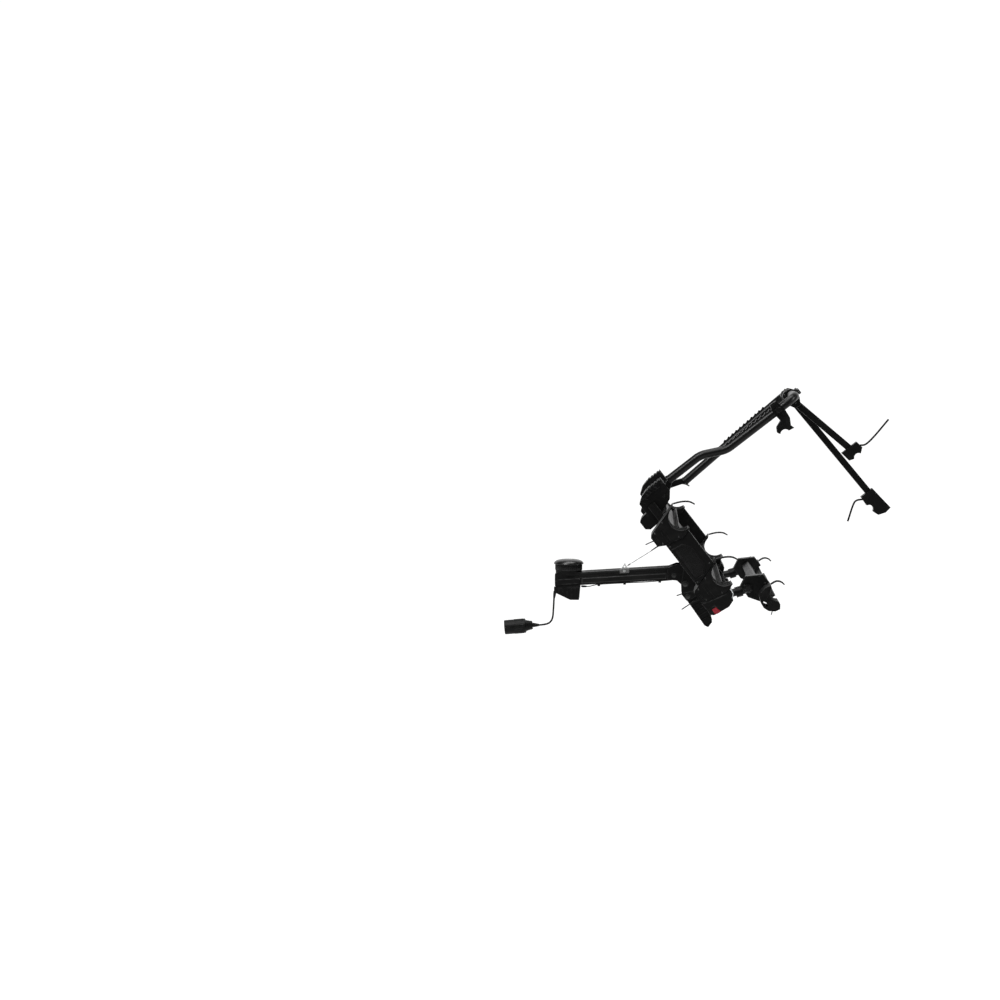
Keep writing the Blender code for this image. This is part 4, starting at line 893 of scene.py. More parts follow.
for number, u in TRAY_PLACES:
    for name, side in SIDES:
        holder = Shape(platform)
        sunk_block(holder, holder_outline(u), side, HOLDER_INNER, HOLDER_OUTER, 0.0012, 0.0016)
        framed_slot(holder, (u - 0.0030, 0.0715), (u + 0.0500, 0.0800), side, HOLDER_OUTER - 0.0018)
        framed_slot(holder, (u + 0.004, 0.042), (u + 0.034, 0.046), side, HOLDER_OUTER - 0.0018)
        for step in range(5):
            y = HOLDER_INNER + 0.014 + 0.0235 * step
            low, high = across(side, y, y + 0.004)
            rib = (arc((u + CUP_OFFSET, CUP_V), CUP_RADIUS + 0.0006, -8, -170, 22)
                   + arc((u + CUP_OFFSET, CUP_V), CUP_RADIUS - 0.0016, -170, -8, 22))
            holder.plate(rib, low, high, 0.0005)
        for step in range(4):
            y = HOLDER_INNER + 0.020 + 0.028 * step
            low, high = across(side, y, y + 0.0035)
            holder.plate([(u - 0.047, 0.158), (u - 0.0185, 0.066), (u - 0.0165, 0.066), (u - 0.045, 0.158)],
                         low, high, 0.0006)
        low, high = across(side, HOLDER_OUTER - 0.078, HOLDER_OUTER - 0.050)
        holder.plate([(u + 0.0640, 0.1315), (u + 0.0670, 0.1320), (u + 0.0585, 0.1580), (u + 0.0520, 0.1600),
                      (u + 0.0510, 0.1560)], low, high, 0.0012)
        for number_of_tail, route in enumerate(STRAP_TAILS[number]):
            y = side * (HOLDER_INNER + HOLDER_LENGTH * (0.45 + 0.25 * number_of_tail))
            holder.tube(smooth_route([(u + a, y, v) for a, v in route], 0.003), TAIL_RADIUS, 12)
        piece(f"wheel_cradle_{number}_{name}", holder, moulded, "platform", [f"wheel_holder_{number}_{name}"])
        screws = Shape(platform)
        for a, v in ((-0.006, 0.052), (0.040, 0.052), (-0.022, 0.096), (0.054, 0.112)):
            screws.turned([(0.0030, 0.0), (0.0030, 0.0010), (0.0022, 0.0016), (0.0012, 0.0017),
                           (0.0010, 0.0006)],
                          (u + a, side * (HOLDER_OUTER - 0.0018), v),
                          (u + a, side * (HOLDER_OUTER + 1), v), 20)
        piece(f"cradle_screws_{number}_{name}", screws, black_zinc, "platform", ())


# ---- Tyre straps
# Ladder straps of tough rubbery nylon, hinged on the cradle's front tip. Their outer face is
# toothed for the ratchet, and their free tip is rounded.
def make_strap_rubber():
    """Rubbery nylon, dull grey-black and chalky where the teeth rub."""
    rubber = Finish("black_strap_rubber", {"Specular IOR Level": 0.16})
    grain = rubber.noise(700.0, 3.0)
    chalk = rubber.mask(rubber.noise(90.0, 4.0), 0.44, 0.70)
    colour = rubber.tint(chalk, grey(0.004), grey(0.010))
    colour = rubber.tint(rubber.edge * 0.5, colour, grey(0.040))
    rubber.shade({"Base Color": colour, "Roughness": 0.52 + 0.16 * chalk,
                  "Normal": rubber.bump(grain, 0.00012)})
    return rubber


rubber = make_strap_rubber()
STRAP_WIDTH = 0.025
STRAP_HALF = 0.0022


def ladder_strap(name, side, base, route, middle, body, node):
    """Toothed strap along a route, with a rounded tip."""
    strap = Shape(platform)
    along = smooth_route([(a + base[0], 0.0, b + base[1]) for a, b in route], 0.0027)
    rings = []
    for i, point in enumerate(along):
        ahead = (along[min(i + 1, len(along) - 1)] - along[max(i - 1, 0)]).normalized()
        normal = Vector((-ahead.z, 0.0, ahead.x))
        share = i / (len(along) - 1)
        half = STRAP_WIDTH / 2
        if share > 0.82:
            half *= math.sqrt(max(0.12, 1.0 - ((share - 0.82) / 0.19) ** 2))
        tooth = 0.0012 if i % 2 and 1 < i < len(along) - 3 else 0.0
        y = side * middle
        section = [(half, -STRAP_HALF + 0.0005), (half - 0.0006, -STRAP_HALF), (-half + 0.0006, -STRAP_HALF),
                   (-half, -STRAP_HALF + 0.0005), (-half, STRAP_HALF - 0.0004), (-half + 0.003, STRAP_HALF),
                   (-half + 0.0045, STRAP_HALF + tooth), (half - 0.0045, STRAP_HALF + tooth),
                   (half - 0.003, STRAP_HALF), (half, STRAP_HALF - 0.0004)]
        rings.append([point + Vector((0.0, y + a, 0.0)) + normal * b for a, b in section])
    strap.loft(rings)
    piece(name, strap, rubber, body, [node])


for number, u in TRAY_PLACES:
    for name, side in SIDES:
        ladder_strap(f"tyre_strap_{number}_{name}", side, (u - 0.0478, 0.1655),
                     [(0.0, 0.0), (0.014, 0.030), (0.030, 0.050), (0.049, 0.060)],
                     HOLDER_INNER + HOLDER_LENGTH * 0.5, f"strap_{number}_{name}_body",
                     f"strap_{number}_{name}")


# ---- Side panels
# Moulded covers that bridge the two wheel holders on each side. A rounded rim runs round a deep
# polished recess, and small rivets hold the cover's corners.
PANEL_FACE = HOLDER_OUTER - 0.006
RECESS_DEPTH = 0.008
RECESS = [(-0.172, 0.064), (-0.040, 0.064), (-0.036, 0.100), (-0.062, 0.124), (-0.140, 0.124),
          (-0.166, 0.104)]
for name, side in SIDES:
    panel = Shape(platform)
    panel.carry(f"side_panel_{name}", 0.0014)
    rim = [(-0.0030, -0.0010), (-0.0028, 0.0012), (-0.0012, 0.0020), (0.0004, 0.0012), (0.0004, -0.0040)]
    panel.loft([[(u, side * (PANEL_FACE + rise), v) for u, v in draw_in(RECESS, inset)]
                for inset, rise in rim], hoop=True)
    piece(f"bridge_cover_{name}", panel, moulded, "platform", [f"side_panel_{name}"])
    polished = Shape(platform)
    low, high = across(side, PANEL_FACE - RECESS_DEPTH - 0.001, PANEL_FACE - RECESS_DEPTH + 0.0006)
    polished.plate(draw_in(RECESS, 0.0006), low, high, 0.0004)
    low, high = across(side, PANEL_FACE - RECESS_DEPTH, PANEL_FACE - RECESS_DEPTH + 0.0018)
    polished.plate([(-0.160, 0.070), (-0.050, 0.070), (-0.048, 0.0755), (-0.158, 0.0755)], low, high, 0.0008)
    piece(f"cover_recess_{name}", polished, gloss, "platform")
    rivets = Shape(platform)
    for u, v in ((-0.186, 0.066), (-0.028, 0.066), (-0.056, 0.140)):
        rivets.turned([(0.0028, 0.0), (0.0027, 0.0006), (0.0018, 0.0012), (0.0005, 0.0014)],
                      (u, side * (PANEL_FACE - 0.0003), v), (u, side * (PANEL_FACE + 1), v), 20)
    piece(f"cover_rivets_{name}", rivets, black_zinc, "platform", ())


# ---- Rear lamps
# Black housings across the platform's rear, each with a ribbed red lens round its lower
# corner and a clear reflector strip set in its upper edge.
def make_lens(name, deep, bright, roughness):
    """Ribbed acrylic, with haze."""
    acrylic = Finish(name, {"Specular IOR Level": 0.5, "Coat Weight": 0.3, "Coat Roughness": 0.08})
    cells = acrylic.node("ShaderNodeTexVoronoi", {"distance": "CHEBYCHEV"},
                         {"Vector": acrylic.place, "Scale": 330.0, "Randomness": 0.0}, "Distance")
    haze = acrylic.mask(acrylic.noise(80.0, 4.0), 0.46, 0.74)
    colour = acrylic.tint(cells, bright, deep)
    acrylic.shade({"Base Color": colour, "Roughness": roughness + 0.12 * haze,
                   "Normal": acrylic.bump(cells, 0.0006)})
    return acrylic


red_lens = make_lens("red_acrylic", (0.060, 0.002, 0.006, 1.0), (0.26, 0.006, 0.016, 1.0), 0.14)
clear_lens = make_lens("clear_acrylic", (0.34, 0.36, 0.37, 1.0), (0.66, 0.68, 0.69, 1.0), 0.16)
LAMP_INNER = 0.35505
housing_outline = [(0.0395, 0.0305), (0.0508, 0.0556), (0.0672, 0.1238), (0.0600, 0.1440), (0.0815, 0.1410),
                   (0.0915, 0.1285), (0.100, 0.127), (0.109, 0.100),
                   (0.105, 0.0685), (0.0757, 0.062), (0.0700, 0.0305)]
lens_outline = [(0.0704, 0.0305), (0.0760, 0.0617), (0.1052, 0.0681), (0.101, 0.040), (0.092, 0.0305)]
reflector_outline = [(0.0612, 0.1446), (0.0818, 0.1415), (0.0912, 0.1294), (0.0885, 0.1272), (0.0800, 0.1376),
                     (0.0614, 0.1405)]
red_outline = [(0.0790, 0.0445), (0.0805, 0.0630), (0.1056, 0.0686), (0.1040, 0.0520), (0.0985, 0.0440)]
for name, side in SIDES:
    housing = Shape(platform)
    low, high = across(side, LAMP_INNER, HOLDER_OUTER)
    housing.plate(housing_outline, low, high, 0.0022, 3)
    for step in range(9):
        y = LAMP_INNER + 0.012 + 0.026 * step
        low, high = across(side, y, y + 0.003)
        housing.plate([(0.1005, 0.0700), (0.1062, 0.0700), (0.1100, 0.1000), (0.1010, 0.1260),
                       (0.0980, 0.1240)], low, high, 0.0007)
    low, high = across(side, LAMP_INNER + 0.001, HOLDER_OUTER - 0.001)
    housing.plate(draw_in(lens_outline, 0.0004), low, high, 0.0010)
    piece(f"lamp_case_{name}", housing, moulded, "platform", [f"lamp_housing_{name}"])
    lens = Shape(platform)
    rings = []
    count = 84
    for i in range(count + 1):
        y = side * (LAMP_INNER + (HOLDER_OUTER - LAMP_INNER) * i / count)
        sunk = 0.0018 if i in (0, count) else 0.0010 * ((i + 1) % 2)
        rings.append([(a, y, b) for a, b in draw_in(red_outline, sunk)])
    lens.loft(rings)
    piece(f"rear_lens_{name}", lens, red_lens, "platform", [f"lamp_lens_{name}"])
    reflector = Shape(platform)
    low, high = across(side, HOLDER_INNER + 0.010, HOLDER_OUTER - 0.0001)
    reflector.plate(reflector_outline, low, high, 0.0008)
    piece(f"clear_reflector_{name}", reflector, clear_lens, "platform", ())


# ---- Number-plate carrier
# A moulded board between the lamps with a raised border, stiffening ribs on its front, two
# small plate lamps along the top and four spring clips.
PLATE_HALF = 0.3247
carrier = Shape(platform)
carrier.block((0.088, -PLATE_HALF, 0.020), (0.0975, PLATE_HALF, 0.124), 0.0012)
carrier.block((0.095, -PLATE_HALF, 0.020), (0.100, PLATE_HALF, 0.0255), 0.0010)
carrier.block((0.095, -PLATE_HALF, 0.1185), (0.100, PLATE_HALF, 0.124), 0.0010)
for _, side in SIDES:
    low, high = across(side, PLATE_HALF - 0.006, PLATE_HALF)
    carrier.block((0.095, low, 0.020), (0.100, high, 0.124), 0.0010)
    for y in (0.110, 0.262):
        low, high = across(side, y, y + 0.022)
        carrier.block((0.0965, low, 0.0195), (0.1035, high, 0.0300), 0.0014)
        carrier.block((0.0965, low, 0.1140), (0.1035, high, 0.1245), 0.0014)
for step in range(9):
    y = -0.288 + 0.072 * step
    carrier.block((0.0862, y - 0.0015, 0.026), (0.0895, y + 0.0015, 0.118), 0.0006)
carrier.block((0.0862, -0.300, 0.070), (0.0895, 0.300, 0.073), 0.0006)
piece("plate_board", carrier, moulded, "platform", ["plate_carrier"])

plate_lamps = Shape(platform)
for _, side in SIDES:
    low, high = across(side, 0.060, 0.094)
    plate_lamps.plate([(0.0890, 0.1236), (0.1040, 0.1236), (0.1055, 0.1262), (0.1030, 0.1330),
                       (0.0920, 0.1345), (0.0885, 0.1300)], low, high, 0.0014)
piece("plate_lamp_pods", plate_lamps, gloss, "platform")


# ---- Foot pedal
# A wedge-shaped moulded pedal in the spine's rear end, pinned through both flanges. Its flanks
# are cored out between ribs and its top is treaded; pressing it frees the platform to tilt.
PEDAL_PIN = (0.044, -0.022)
PEDAL_HALF = 0.047
PEDAL_TOP = PEDAL_PIN[1] + 0.036
pedal = Shape(platform)
pedal_rear = PEDAL_PIN[0] + 0.140
pedal_outline = (arc(PEDAL_PIN, 0.012, 90, 270, 16)
                 + [(PEDAL_PIN[0] + 0.050, PEDAL_PIN[1] - 0.014), (pedal_rear - 0.014, PEDAL_PIN[1] - 0.018),
                    (pedal_rear, PEDAL_PIN[1] - 0.011), (pedal_rear - 0.006, PEDAL_PIN[1] + 0.013),
                    (PEDAL_PIN[0] + 0.106, PEDAL_PIN[1] + 0.025), (PEDAL_PIN[0] + 0.060, PEDAL_TOP),
                    (PEDAL_PIN[0] + 0.022, PEDAL_TOP - 0.002)])
for _, side in SIDES:
    sunk_block(pedal, pedal_outline, side, 0.0, PEDAL_HALF, 0.0026, 0.0050)
    low, high = across(side, PEDAL_HALF - 0.0060, PEDAL_HALF - 0.0008)
    for step in range(5):
        u = PEDAL_PIN[0] + 0.024 + 0.020 * step
        rib_top = PEDAL_TOP - 0.006 - 0.25 * max(0.0, u - PEDAL_PIN[0] - 0.050)
        pedal.plate([(u, PEDAL_PIN[1] - 0.013), (u + 0.0022, PEDAL_PIN[1] - 0.013),
                     (u + 0.0062, rib_top), (u + 0.0040, rib_top)], low, high, 0.0006)
for step in range(8):
    u = PEDAL_PIN[0] + 0.064 + 0.0088 * step
    walked = u - PEDAL_PIN[0]
    top = PEDAL_TOP - 0.239 * (walked - 0.060)
    if walked > 0.106:
        top = PEDAL_PIN[1] + 0.025 - 0.429 * (walked - 0.106)
    pedal.block((u, -0.040, top - 0.001), (u + 0.0040, 0.040, top + 0.0009), 0.0007)
piece("release_pedal", pedal, moulded, "pedal", ["foot_pedal"])
pedal_axle = Shape(platform)
pedal_axle.rod((PEDAL_PIN[0], -0.0530, PEDAL_PIN[1]), (PEDAL_PIN[0], 0.0530, PEDAL_PIN[1]), 0.0059)
for _, side in SIDES:
    hex_head(pedal_axle, PEDAL_PIN, side, 0.0527, 0.0150, 0.0038)
piece("pedal_axle", pedal_axle, black_zinc, "platform", ["pedal_pin"])


# ---- Mast feet
# Big moulded feet bolted inside the rails. Each is slotted for a mast leg, finned on its
# front edge and stiffened by slanting ribs, and a steel pin carries the leg.
FOOT_INNER = 0.236
FOOT_OUTER = 0.32495
MAST_PIN = (-0.325, 0.150)
for name, side in SIDES:
    foot = Shape(platform)
    foot.carry(f"mast_foot_{name}", 0.0012)
    low, high = across(side, FOOT_OUTER - 0.001, FOOT_OUTER + 0.0020)
    for step in range(8):
        v = 0.068 + 0.0135 * step
        u = max(-0.386, -0.358 - 0.74 * (v - 0.060)) + 0.0040
        foot.plate([(u, v), (u + 0.0165, v + 0.010), (u + 0.0165, v + 0.0135), (u, v + 0.0035)],
                   low, high, 0.0009)
    foot.plate([(-0.365, 0.072), (-0.3645, 0.160), (-0.3615, 0.160), (-0.362, 0.072)], low, high, 0.0009)
    low, high = across(side, FOOT_INNER - 0.0014, FOOT_INNER + 0.001)
    for step in range(7):
        u = -0.350 + 0.0110 * step
        foot.plate([(u, 0.064), (u + 0.0035, 0.064), (u + 0.0155, 0.128), (u + 0.012, 0.128)],
                   low, high, 0.0008)
    piece(f"leg_socket_{name}", foot, moulded, "platform", [f"mast_foot_{name}"])
    pin = Shape(platform)
    pin.rod((MAST_PIN[0], side * 0.2350, MAST_PIN[1]), (MAST_PIN[0], side * 0.3228, MAST_PIN[1]), 0.0059)
    pin.turned([(0.0100, 0.0), (0.0102, 0.0012), (0.0098, 0.0040), (0.0070, 0.0050), (0.0035, 0.0050),
                (0.0030, 0.0030)],
               (MAST_PIN[0], side * 0.2357, MAST_PIN[1]), (MAST_PIN[0], side * -1, MAST_PIN[1]), 32)
    piece(f"leg_pin_{name}", pin, black_zinc, "platform", [f"mast_pin_{name}"])


# ---- Mast
# One steel tube bent into a hoop with a toothed rack welded to the front of each leg, so
# that the arms can be set at different heights. Satin powder coat, rubbed along the teeth.
def make_satin_coat():
    """Smooth satin powder with faint drawn lines along the tube."""
    satin = Finish("black_satin_coat", {"Specular IOR Level": 0.18})
    drawn = satin.noise(260.0, 3.0, (1.0, 1.0, 0.12))
    cloud = satin.noise(18.0, 3.0)
    scuff = satin.mask(satin.noise(120.0, 6.0), 0.60, 0.70)
    rubbed = satin.edge * satin.mask(satin.noise(90.0, 4.0), 0.40, 0.58)
    colour = satin.tint(cloud, grey(0.0014), grey(0.0030))
    colour = satin.tint(scuff * 0.1, colour, grey(0.025))
    colour = satin.tint(rubbed * 0.7, colour, grey(0.070))
    satin.shade({"Base Color": colour,
                 "Roughness": 0.28 + 0.08 * cloud + 0.14 * scuff,
                 "Normal": satin.bump(drawn + 0.3 * scuff, 0.00012)})
    return satin


satin = make_satin_coat()
MAST_HALF = 0.280
MAST_RADIUS = 0.016
MAST_TOP = (-0.320, 0.750)
NEAR_FOOT = (-0.362, 0.194)
FAR_FOOT = (-0.290, 0.225)
TEETH = 11
TOOTH_PITCH = 0.0195
FIRST_TOOTH = 0.448


def bent(points, radii, steps=14):
    """Line of points with each inner corner turned into an arc of the given radius."""
    corners = [Vector(point) for point in points]
    path = [corners[0]]
    for before, corner, after, radius in zip(corners, corners[1:], corners[2:], radii):
        inward = (before - corner).normalized()
        outward = (after - corner).normalized()
        half = inward.angle(outward) / 2
        back = radius / math.tan(half)
        centre = corner + (inward + outward).normalized() * radius / math.sin(half)
        first = corner + inward * back - centre
        last = corner + outward * back - centre
        for i in range(steps + 1):
            path.append(centre + radius * first.slerp(last, i / steps))
    path.append(corners[-1])
    return path


def leg_front(side, v):
    """Car-facing surface of a leg's upper part, at a height on the platform."""
    if side < 0:
        return MAST_TOP[0] - MAST_RADIUS
    share = (v - FAR_FOOT[1]) / (MAST_TOP[1] - FAR_FOOT[1])
    return FAR_FOOT[0] + (MAST_TOP[0] - FAR_FOOT[0]) * share - MAST_RADIUS


mast = Shape(platform)
mast.tube(bent([(NEAR_FOOT[0], -MAST_HALF, NEAR_FOOT[1]), (NEAR_FOOT[0], -MAST_HALF, 0.345),
                (MAST_TOP[0], -MAST_HALF, 0.432), (MAST_TOP[0], -MAST_HALF, MAST_TOP[1]),
                (MAST_TOP[0], MAST_HALF, MAST_TOP[1]), (FAR_FOOT[0], MAST_HALF, FAR_FOOT[1])],
               [0.090, 0.090, 0.055, 0.055]), MAST_RADIUS, 36)
for side, (foot_u, foot_v) in ((-1, NEAR_FOOT), (1, FAR_FOOT)):
    low, high = across(side, MAST_HALF - 0.010, MAST_HALF + 0.010)
    lean = math.degrees(math.atan2(foot_v - MAST_PIN[1], foot_u - MAST_PIN[0]))
    mast.plate(arc(MAST_PIN, 0.0145, lean + 90, lean + 270, 16)
               + [(foot_u + 0.011, foot_v + 0.014), (foot_u - 0.011, foot_v + 0.014)], low, high, 0.0016, 3)
    foot_point = Vector((foot_u, side * MAST_HALF, foot_v))
    mast.turned([(0.0162, 0.0), (0.0175, 0.0008), (0.0175, 0.007), (0.0162, 0.0078)],
                foot_point, foot_point + Vector((0.0 if side < 0 else -0.0571, 0.0, 1.0)), 36)
    low, high = across(side, MAST_HALF - 0.008, MAST_HALF + 0.008)
    first_v = FIRST_TOOTH - 0.012
    last_v = FIRST_TOOTH + (TEETH - 1) * TOOTH_PITCH + 0.0035
    rack = [(leg_front(side, first_v) + 0.010, first_v)]
    for number in range(TEETH):
        v = FIRST_TOOTH + number * TOOTH_PITCH
        face = leg_front(side, v)
        rack += [(face - 0.001, v - 0.007), (face - 0.006, v + 0.002), (face - 0.001, v + 0.005)]
    rack.append((leg_front(side, last_v) + 0.010, last_v))
    mast.plate(rack, low, high, 0.0007)
piece("mast_hoop", mast, satin, "mast", ["mast"])


# ---- Bike-holding arms
# A flat curved arm on the near leg and two square-tube arms on the top bar. Each has a
# moulded clamping head with a lobed knob, and each reaches back to a claw.
ARM_TUBE = 0.025


def lobed_knob(shape, start, towards, radius, height, lobes=6):
    """Hand knob with rounded lobes and a sunk top."""
    shape.turned([(radius * 0.62, 0.0), (radius * 0.66, 0.0012), (radius * 0.70, height * 0.22),
                  (radius * 0.94, height * 0.34), (radius, height * 0.46), (radius, height * 0.84),
                  (radius * 0.93, height * 0.97), (radius * 0.62, height), (radius * 0.56, height * 0.93),
                  (radius * 0.20, height * 0.92)], start, towards, 96, lobes, radius * 0.13)


arm_1 = Shape(platform)
u, v = MAST_TOP[0], 0.666
arm_1_outline = [(u - 0.033, v - 0.010), (u - 0.031, v + 0.016), (u + 0.012, v + 0.024),
                 (u + 0.048, v + 0.020), (u + 0.072, v + 0.006), (u + 0.087, v + 0.010),
                 (u + 0.083, v - 0.012)]
arm_1_outline += arc((u + 0.086, v - 0.030), 0.0182, 100, 232, 10)
arm_1_outline += [(u + 0.064, v - 0.050), (u + 0.046, v - 0.040), (u + 0.036, v - 0.014),
                  (u - 0.004, v - 0.018)]
arm_1.plate(arm_1_outline, -MAST_HALF - 0.019, -MAST_HALF + 0.019, 0.0018, 3)
for y in (-MAST_HALF - 0.0205, -MAST_HALF + 0.0185):
    arm_1.plate([(u - 0.028, v - 0.008), (u + 0.034, v - 0.006), (u + 0.054, v - 0.034),
                 (u + 0.058, v - 0.030), (u + 0.042, v + 0.004), (u + 0.010, v + 0.012),
                 (u - 0.026, v + 0.010)], y, y + 0.002, 0.0008)
piece("short_arm", arm_1, moulded, "arm_1", ["holder_arm_1"])
knob_1 = Shape(platform)
lobed_knob(knob_1, (u, -MAST_HALF - 0.0215, v + 0.003), (u, -9, v + 0.003), 0.0128, 0.0165)
piece("short_arm_knob", knob_1, gloss, "knob_1", ["arm_knob_1"])

HEAD_HALF = 0.030
for number, y, end in ((2, 0.0, (-0.0298, 0.7995)), (3, 0.110, (0.1577, 0.760))):
    long_arm = Shape(platform)
    u, v = MAST_TOP
    head = [(u - 0.025, v - 0.016), (u - 0.022, v + 0.011), (u - 0.010, v + 0.0205), (u + 0.025, v + 0.0200),
            (u + 0.053, v + 0.004), (u + 0.050, v - 0.018), (u + 0.020, v - 0.034), (u - 0.016, v - 0.030)]
    long_arm.plate(head, y - HEAD_HALF, y + HEAD_HALF, 0.0024, 3)
    long_arm.plate([(u - 0.0265, v - 0.003), (u + 0.030, v - 0.003), (u + 0.030, v - 0.0002),
                    (u - 0.0265, v - 0.0002)], y - HEAD_HALF - 0.0008, y + HEAD_HALF + 0.0008, 0.0006)
    start = Vector((u + 0.035, 0.0, v - 0.004))
    stop = Vector((end[0], 0.0, end[1]))
    reach = (stop - start).normalized()
    section = round_square((0.0, 0.0), ARM_TUBE / 2, 0.0030)
    rings = []
    for along_u in (start.x, end[0]):
        ring = []
        for across_y, across_v in section:
            rise = across_v / reach.x
            ring.append((along_u, y + across_y, start.z + (along_u - start.x) * reach.z / reach.x + rise))
        rings.append(ring)
    long_arm.loft(rings)
    piece(f"long_arm_{number}", long_arm, moulded, f"arm_{number}", [f"holder_arm_{number}"])
    screws = Shape(platform)
    for _, side in SIDES:
        for a, b in ((u - 0.014, v - 0.020), (u + 0.034, v - 0.006)):
            screws.turned([(0.0032, 0.0), (0.0032, 0.0010), (0.0024, 0.0016), (0.0012, 0.0016),
                           (0.0010, 0.0006)],
                          (a, y + side * (HEAD_HALF + 0.0002), b), (a, y + side * 9, b), 20)
    piece(f"long_arm_screws_{number}", screws, black_zinc, f"arm_{number}", ())
    hand_knob = Shape(platform)
    lobed_knob(hand_knob, (u + 0.007, y, v + 0.0215), (u + 0.007, y, 9), 0.0120, 0.0145)
    piece(f"long_arm_knob_{number}", hand_knob, gloss, f"knob_{number}", [f"arm_knob_{number}"])


# ---- Claws
# Two-jaw nylon claws on the long arms, swivelling on their ends and lined with soft rubber
# where they hold a bike's frame. A thin strap end stands or hangs from each.
claws = (
    (2, 0.0, [(-0.0293, 0.766), (0.010, 0.771), (0.016, 0.7885)],
     [(0.014, 0.8225), (0.000, 0.840), (-0.0293, 0.836)], (0.022, 0.806), (252, 108),
     [(-0.010, 0.838), (0.000, 0.858), (-0.004, 0.900), (-0.022, 0.982)], 0.020),
    (3, 0.110, [(0.1582, 0.726), (0.1962, 0.7235)],
     [(0.2320, 0.7285), (0.252, 0.736), (0.262, 0.764), (0.258, 0.790), (0.1582, 0.780)], (0.214, 0.722),
     (176, 22), [(0.172, 0.728), (0.160, 0.705), (0.166, 0.684), (0.203, 0.630)], 0.022),
)
for number, y, before, after, grip, (start, end), tail, half_width in claws:
    claw = Shape(platform)
    claw.plate(before + arc(grip, 0.0182, start, end, 16) + after, y - half_width, y + half_width, 0.0018, 3)
    claw.tube(smooth_route([(a, y, b) for a, b in tail], 0.004), 0.0036, 12)
    piece(f"claw_jaw_{number}", claw, moulded, f"claw_{number}_body", [f"claw_{number}"])
    lining = Shape(platform)
    soft = arc(grip, 0.0183, start - 6, end + 6, 14) + arc(grip, 0.0166, end + 6, start - 6, 14)
    pitch = (2 * half_width - 0.004) / 5
    for step in range(5):
        low = y - half_width + 0.002 + step * pitch
        lining.plate(soft, low, low + pitch - 0.0014, 0.0004)
    piece(f"claw_lining_{number}", lining, rubber, f"claw_{number}_body", ())


# ---- Third-bike adapter
# A bolt-on crossbar on two posts that carries a narrower wheel channel behind the platform.
# Its holders and straps are smaller copies of the main ones, and two hand knobs clamp it.
adapter = Shape(platform)
POST_BLOCK = [(0.083, 0.206), (0.101, 0.168), (0.150, 0.166), (0.196, 0.196), (0.203, 0.2295),
              (0.1585, 0.2295), (0.158, 0.261), (0.117, 0.261)]
ADAPTER_END = 0.3997
SMALL_HALF_WIDTH = 0.0205
SMALL_U = 0.1795
SMALL_V = 0.229
foot_v = FRAME_TOP + 0.0003
for _, side in SIDES:
    low, high = across(side, RAIL_Y - 0.020, RAIL_Y + 0.020)
    adapter.plate(POST_BLOCK, low, high, 0.0020, 3)
    y = side * RAIL_Y
    adapter.rod((0.100, y, foot_v + 0.0105), (0.124, y, 0.175), 0.0145, 0.0010, 40)
    post_start = Vector((0.1105, y, 0.140))
    post_end = Vector((0.1195, y, 0.1635))
    rings = [(0.0150, 0.0)]
    for ring in range(5):
        base = 0.0252 * ring / 5
        rings += [(0.0186, base + 0.0004), (0.0200, base + 0.0012), (0.0200, base + 0.0036),
                  (0.0186, base + 0.0044)]
    rings.append((0.0150, 0.0252))
    adapter.turned(rings, post_start, post_end, 48)
    low, high = across(side, RAIL_Y - FRAME_TUBE / 2, RAIL_Y + FRAME_TUBE / 2)
    adapter.block((0.070, low, foot_v), (RAIL_REAR, high, foot_v + 0.014), 0.0020, 3)
adapter.plate(round_square((0.127, 0.215), 0.015, 0.0030), -RAIL_Y, RAIL_Y, 0.0)
adapter.plate(tray_section(SMALL_U, SMALL_V, SMALL_HALF_WIDTH), -ADAPTER_END, ADAPTER_END, 0.0)
piece("adapter_weldment", adapter, powder_coat, "platform", ["adapter"])

adapter_bolts = Shape(platform)
for _, side in SIDES:
    for centre in ((0.112, 0.246), (0.146, 0.246), (0.186, 0.214)):
        hex_head(adapter_bolts, centre, side, RAIL_Y + 0.0198, 0.0070, 0.0026)
    hex_head(adapter_bolts, (0.108, 0.182), side, RAIL_Y + 0.0198, 0.0062, 0.0024)
piece("adapter_fasteners", adapter_bolts, black_zinc, "platform", ())

SMALL_CUP = (0.187, 0.262)
SMALL_INNER = 0.400
SMALL_LENGTH = 0.100
for name, side in SIDES:
    holder = Shape(platform)
    holder.carry(f"wheel_holder_3_{name}", 0.0008)
    for step in range(4):
        y = SMALL_INNER + 0.014 + 0.023 * step
        low, high = across(side, y, y + 0.0035)
        holder.plate(arc(SMALL_CUP, 0.0285, -36, -166, 16) + arc(SMALL_CUP, 0.0268, -166, -36, 16),
                     low, high, 0.0004)
    framed_slot(holder, (0.178, 0.2205), (0.206, 0.2240), side, SMALL_INNER + SMALL_LENGTH - 0.0002)
    piece(f"wheel_cradle_3_{name}", holder, moulded, "platform", [f"wheel_holder_3_{name}"])
    ladder_strap(f"tyre_strap_3_{name}", side, (0.1508, 0.2624),
                 [(0.0, 0.0), (0.004, 0.022), (0.016, 0.034), (0.032, 0.038)],
                 SMALL_INNER + SMALL_LENGTH * 0.5, f"strap_3_{name}_body", f"strap_3_{name}")
    hand_knob = Shape(platform)
    lobed_knob(hand_knob, (0.124, side * (RAIL_Y + 0.0206), 0.186), (0.124, side * 9, 0.186), 0.0168, 0.0192)
    piece(f"adapter_hand_knob_{name}", hand_knob, gloss, f"adapter_knob_{name}_body",
          [f"adapter_knob_{name}"])


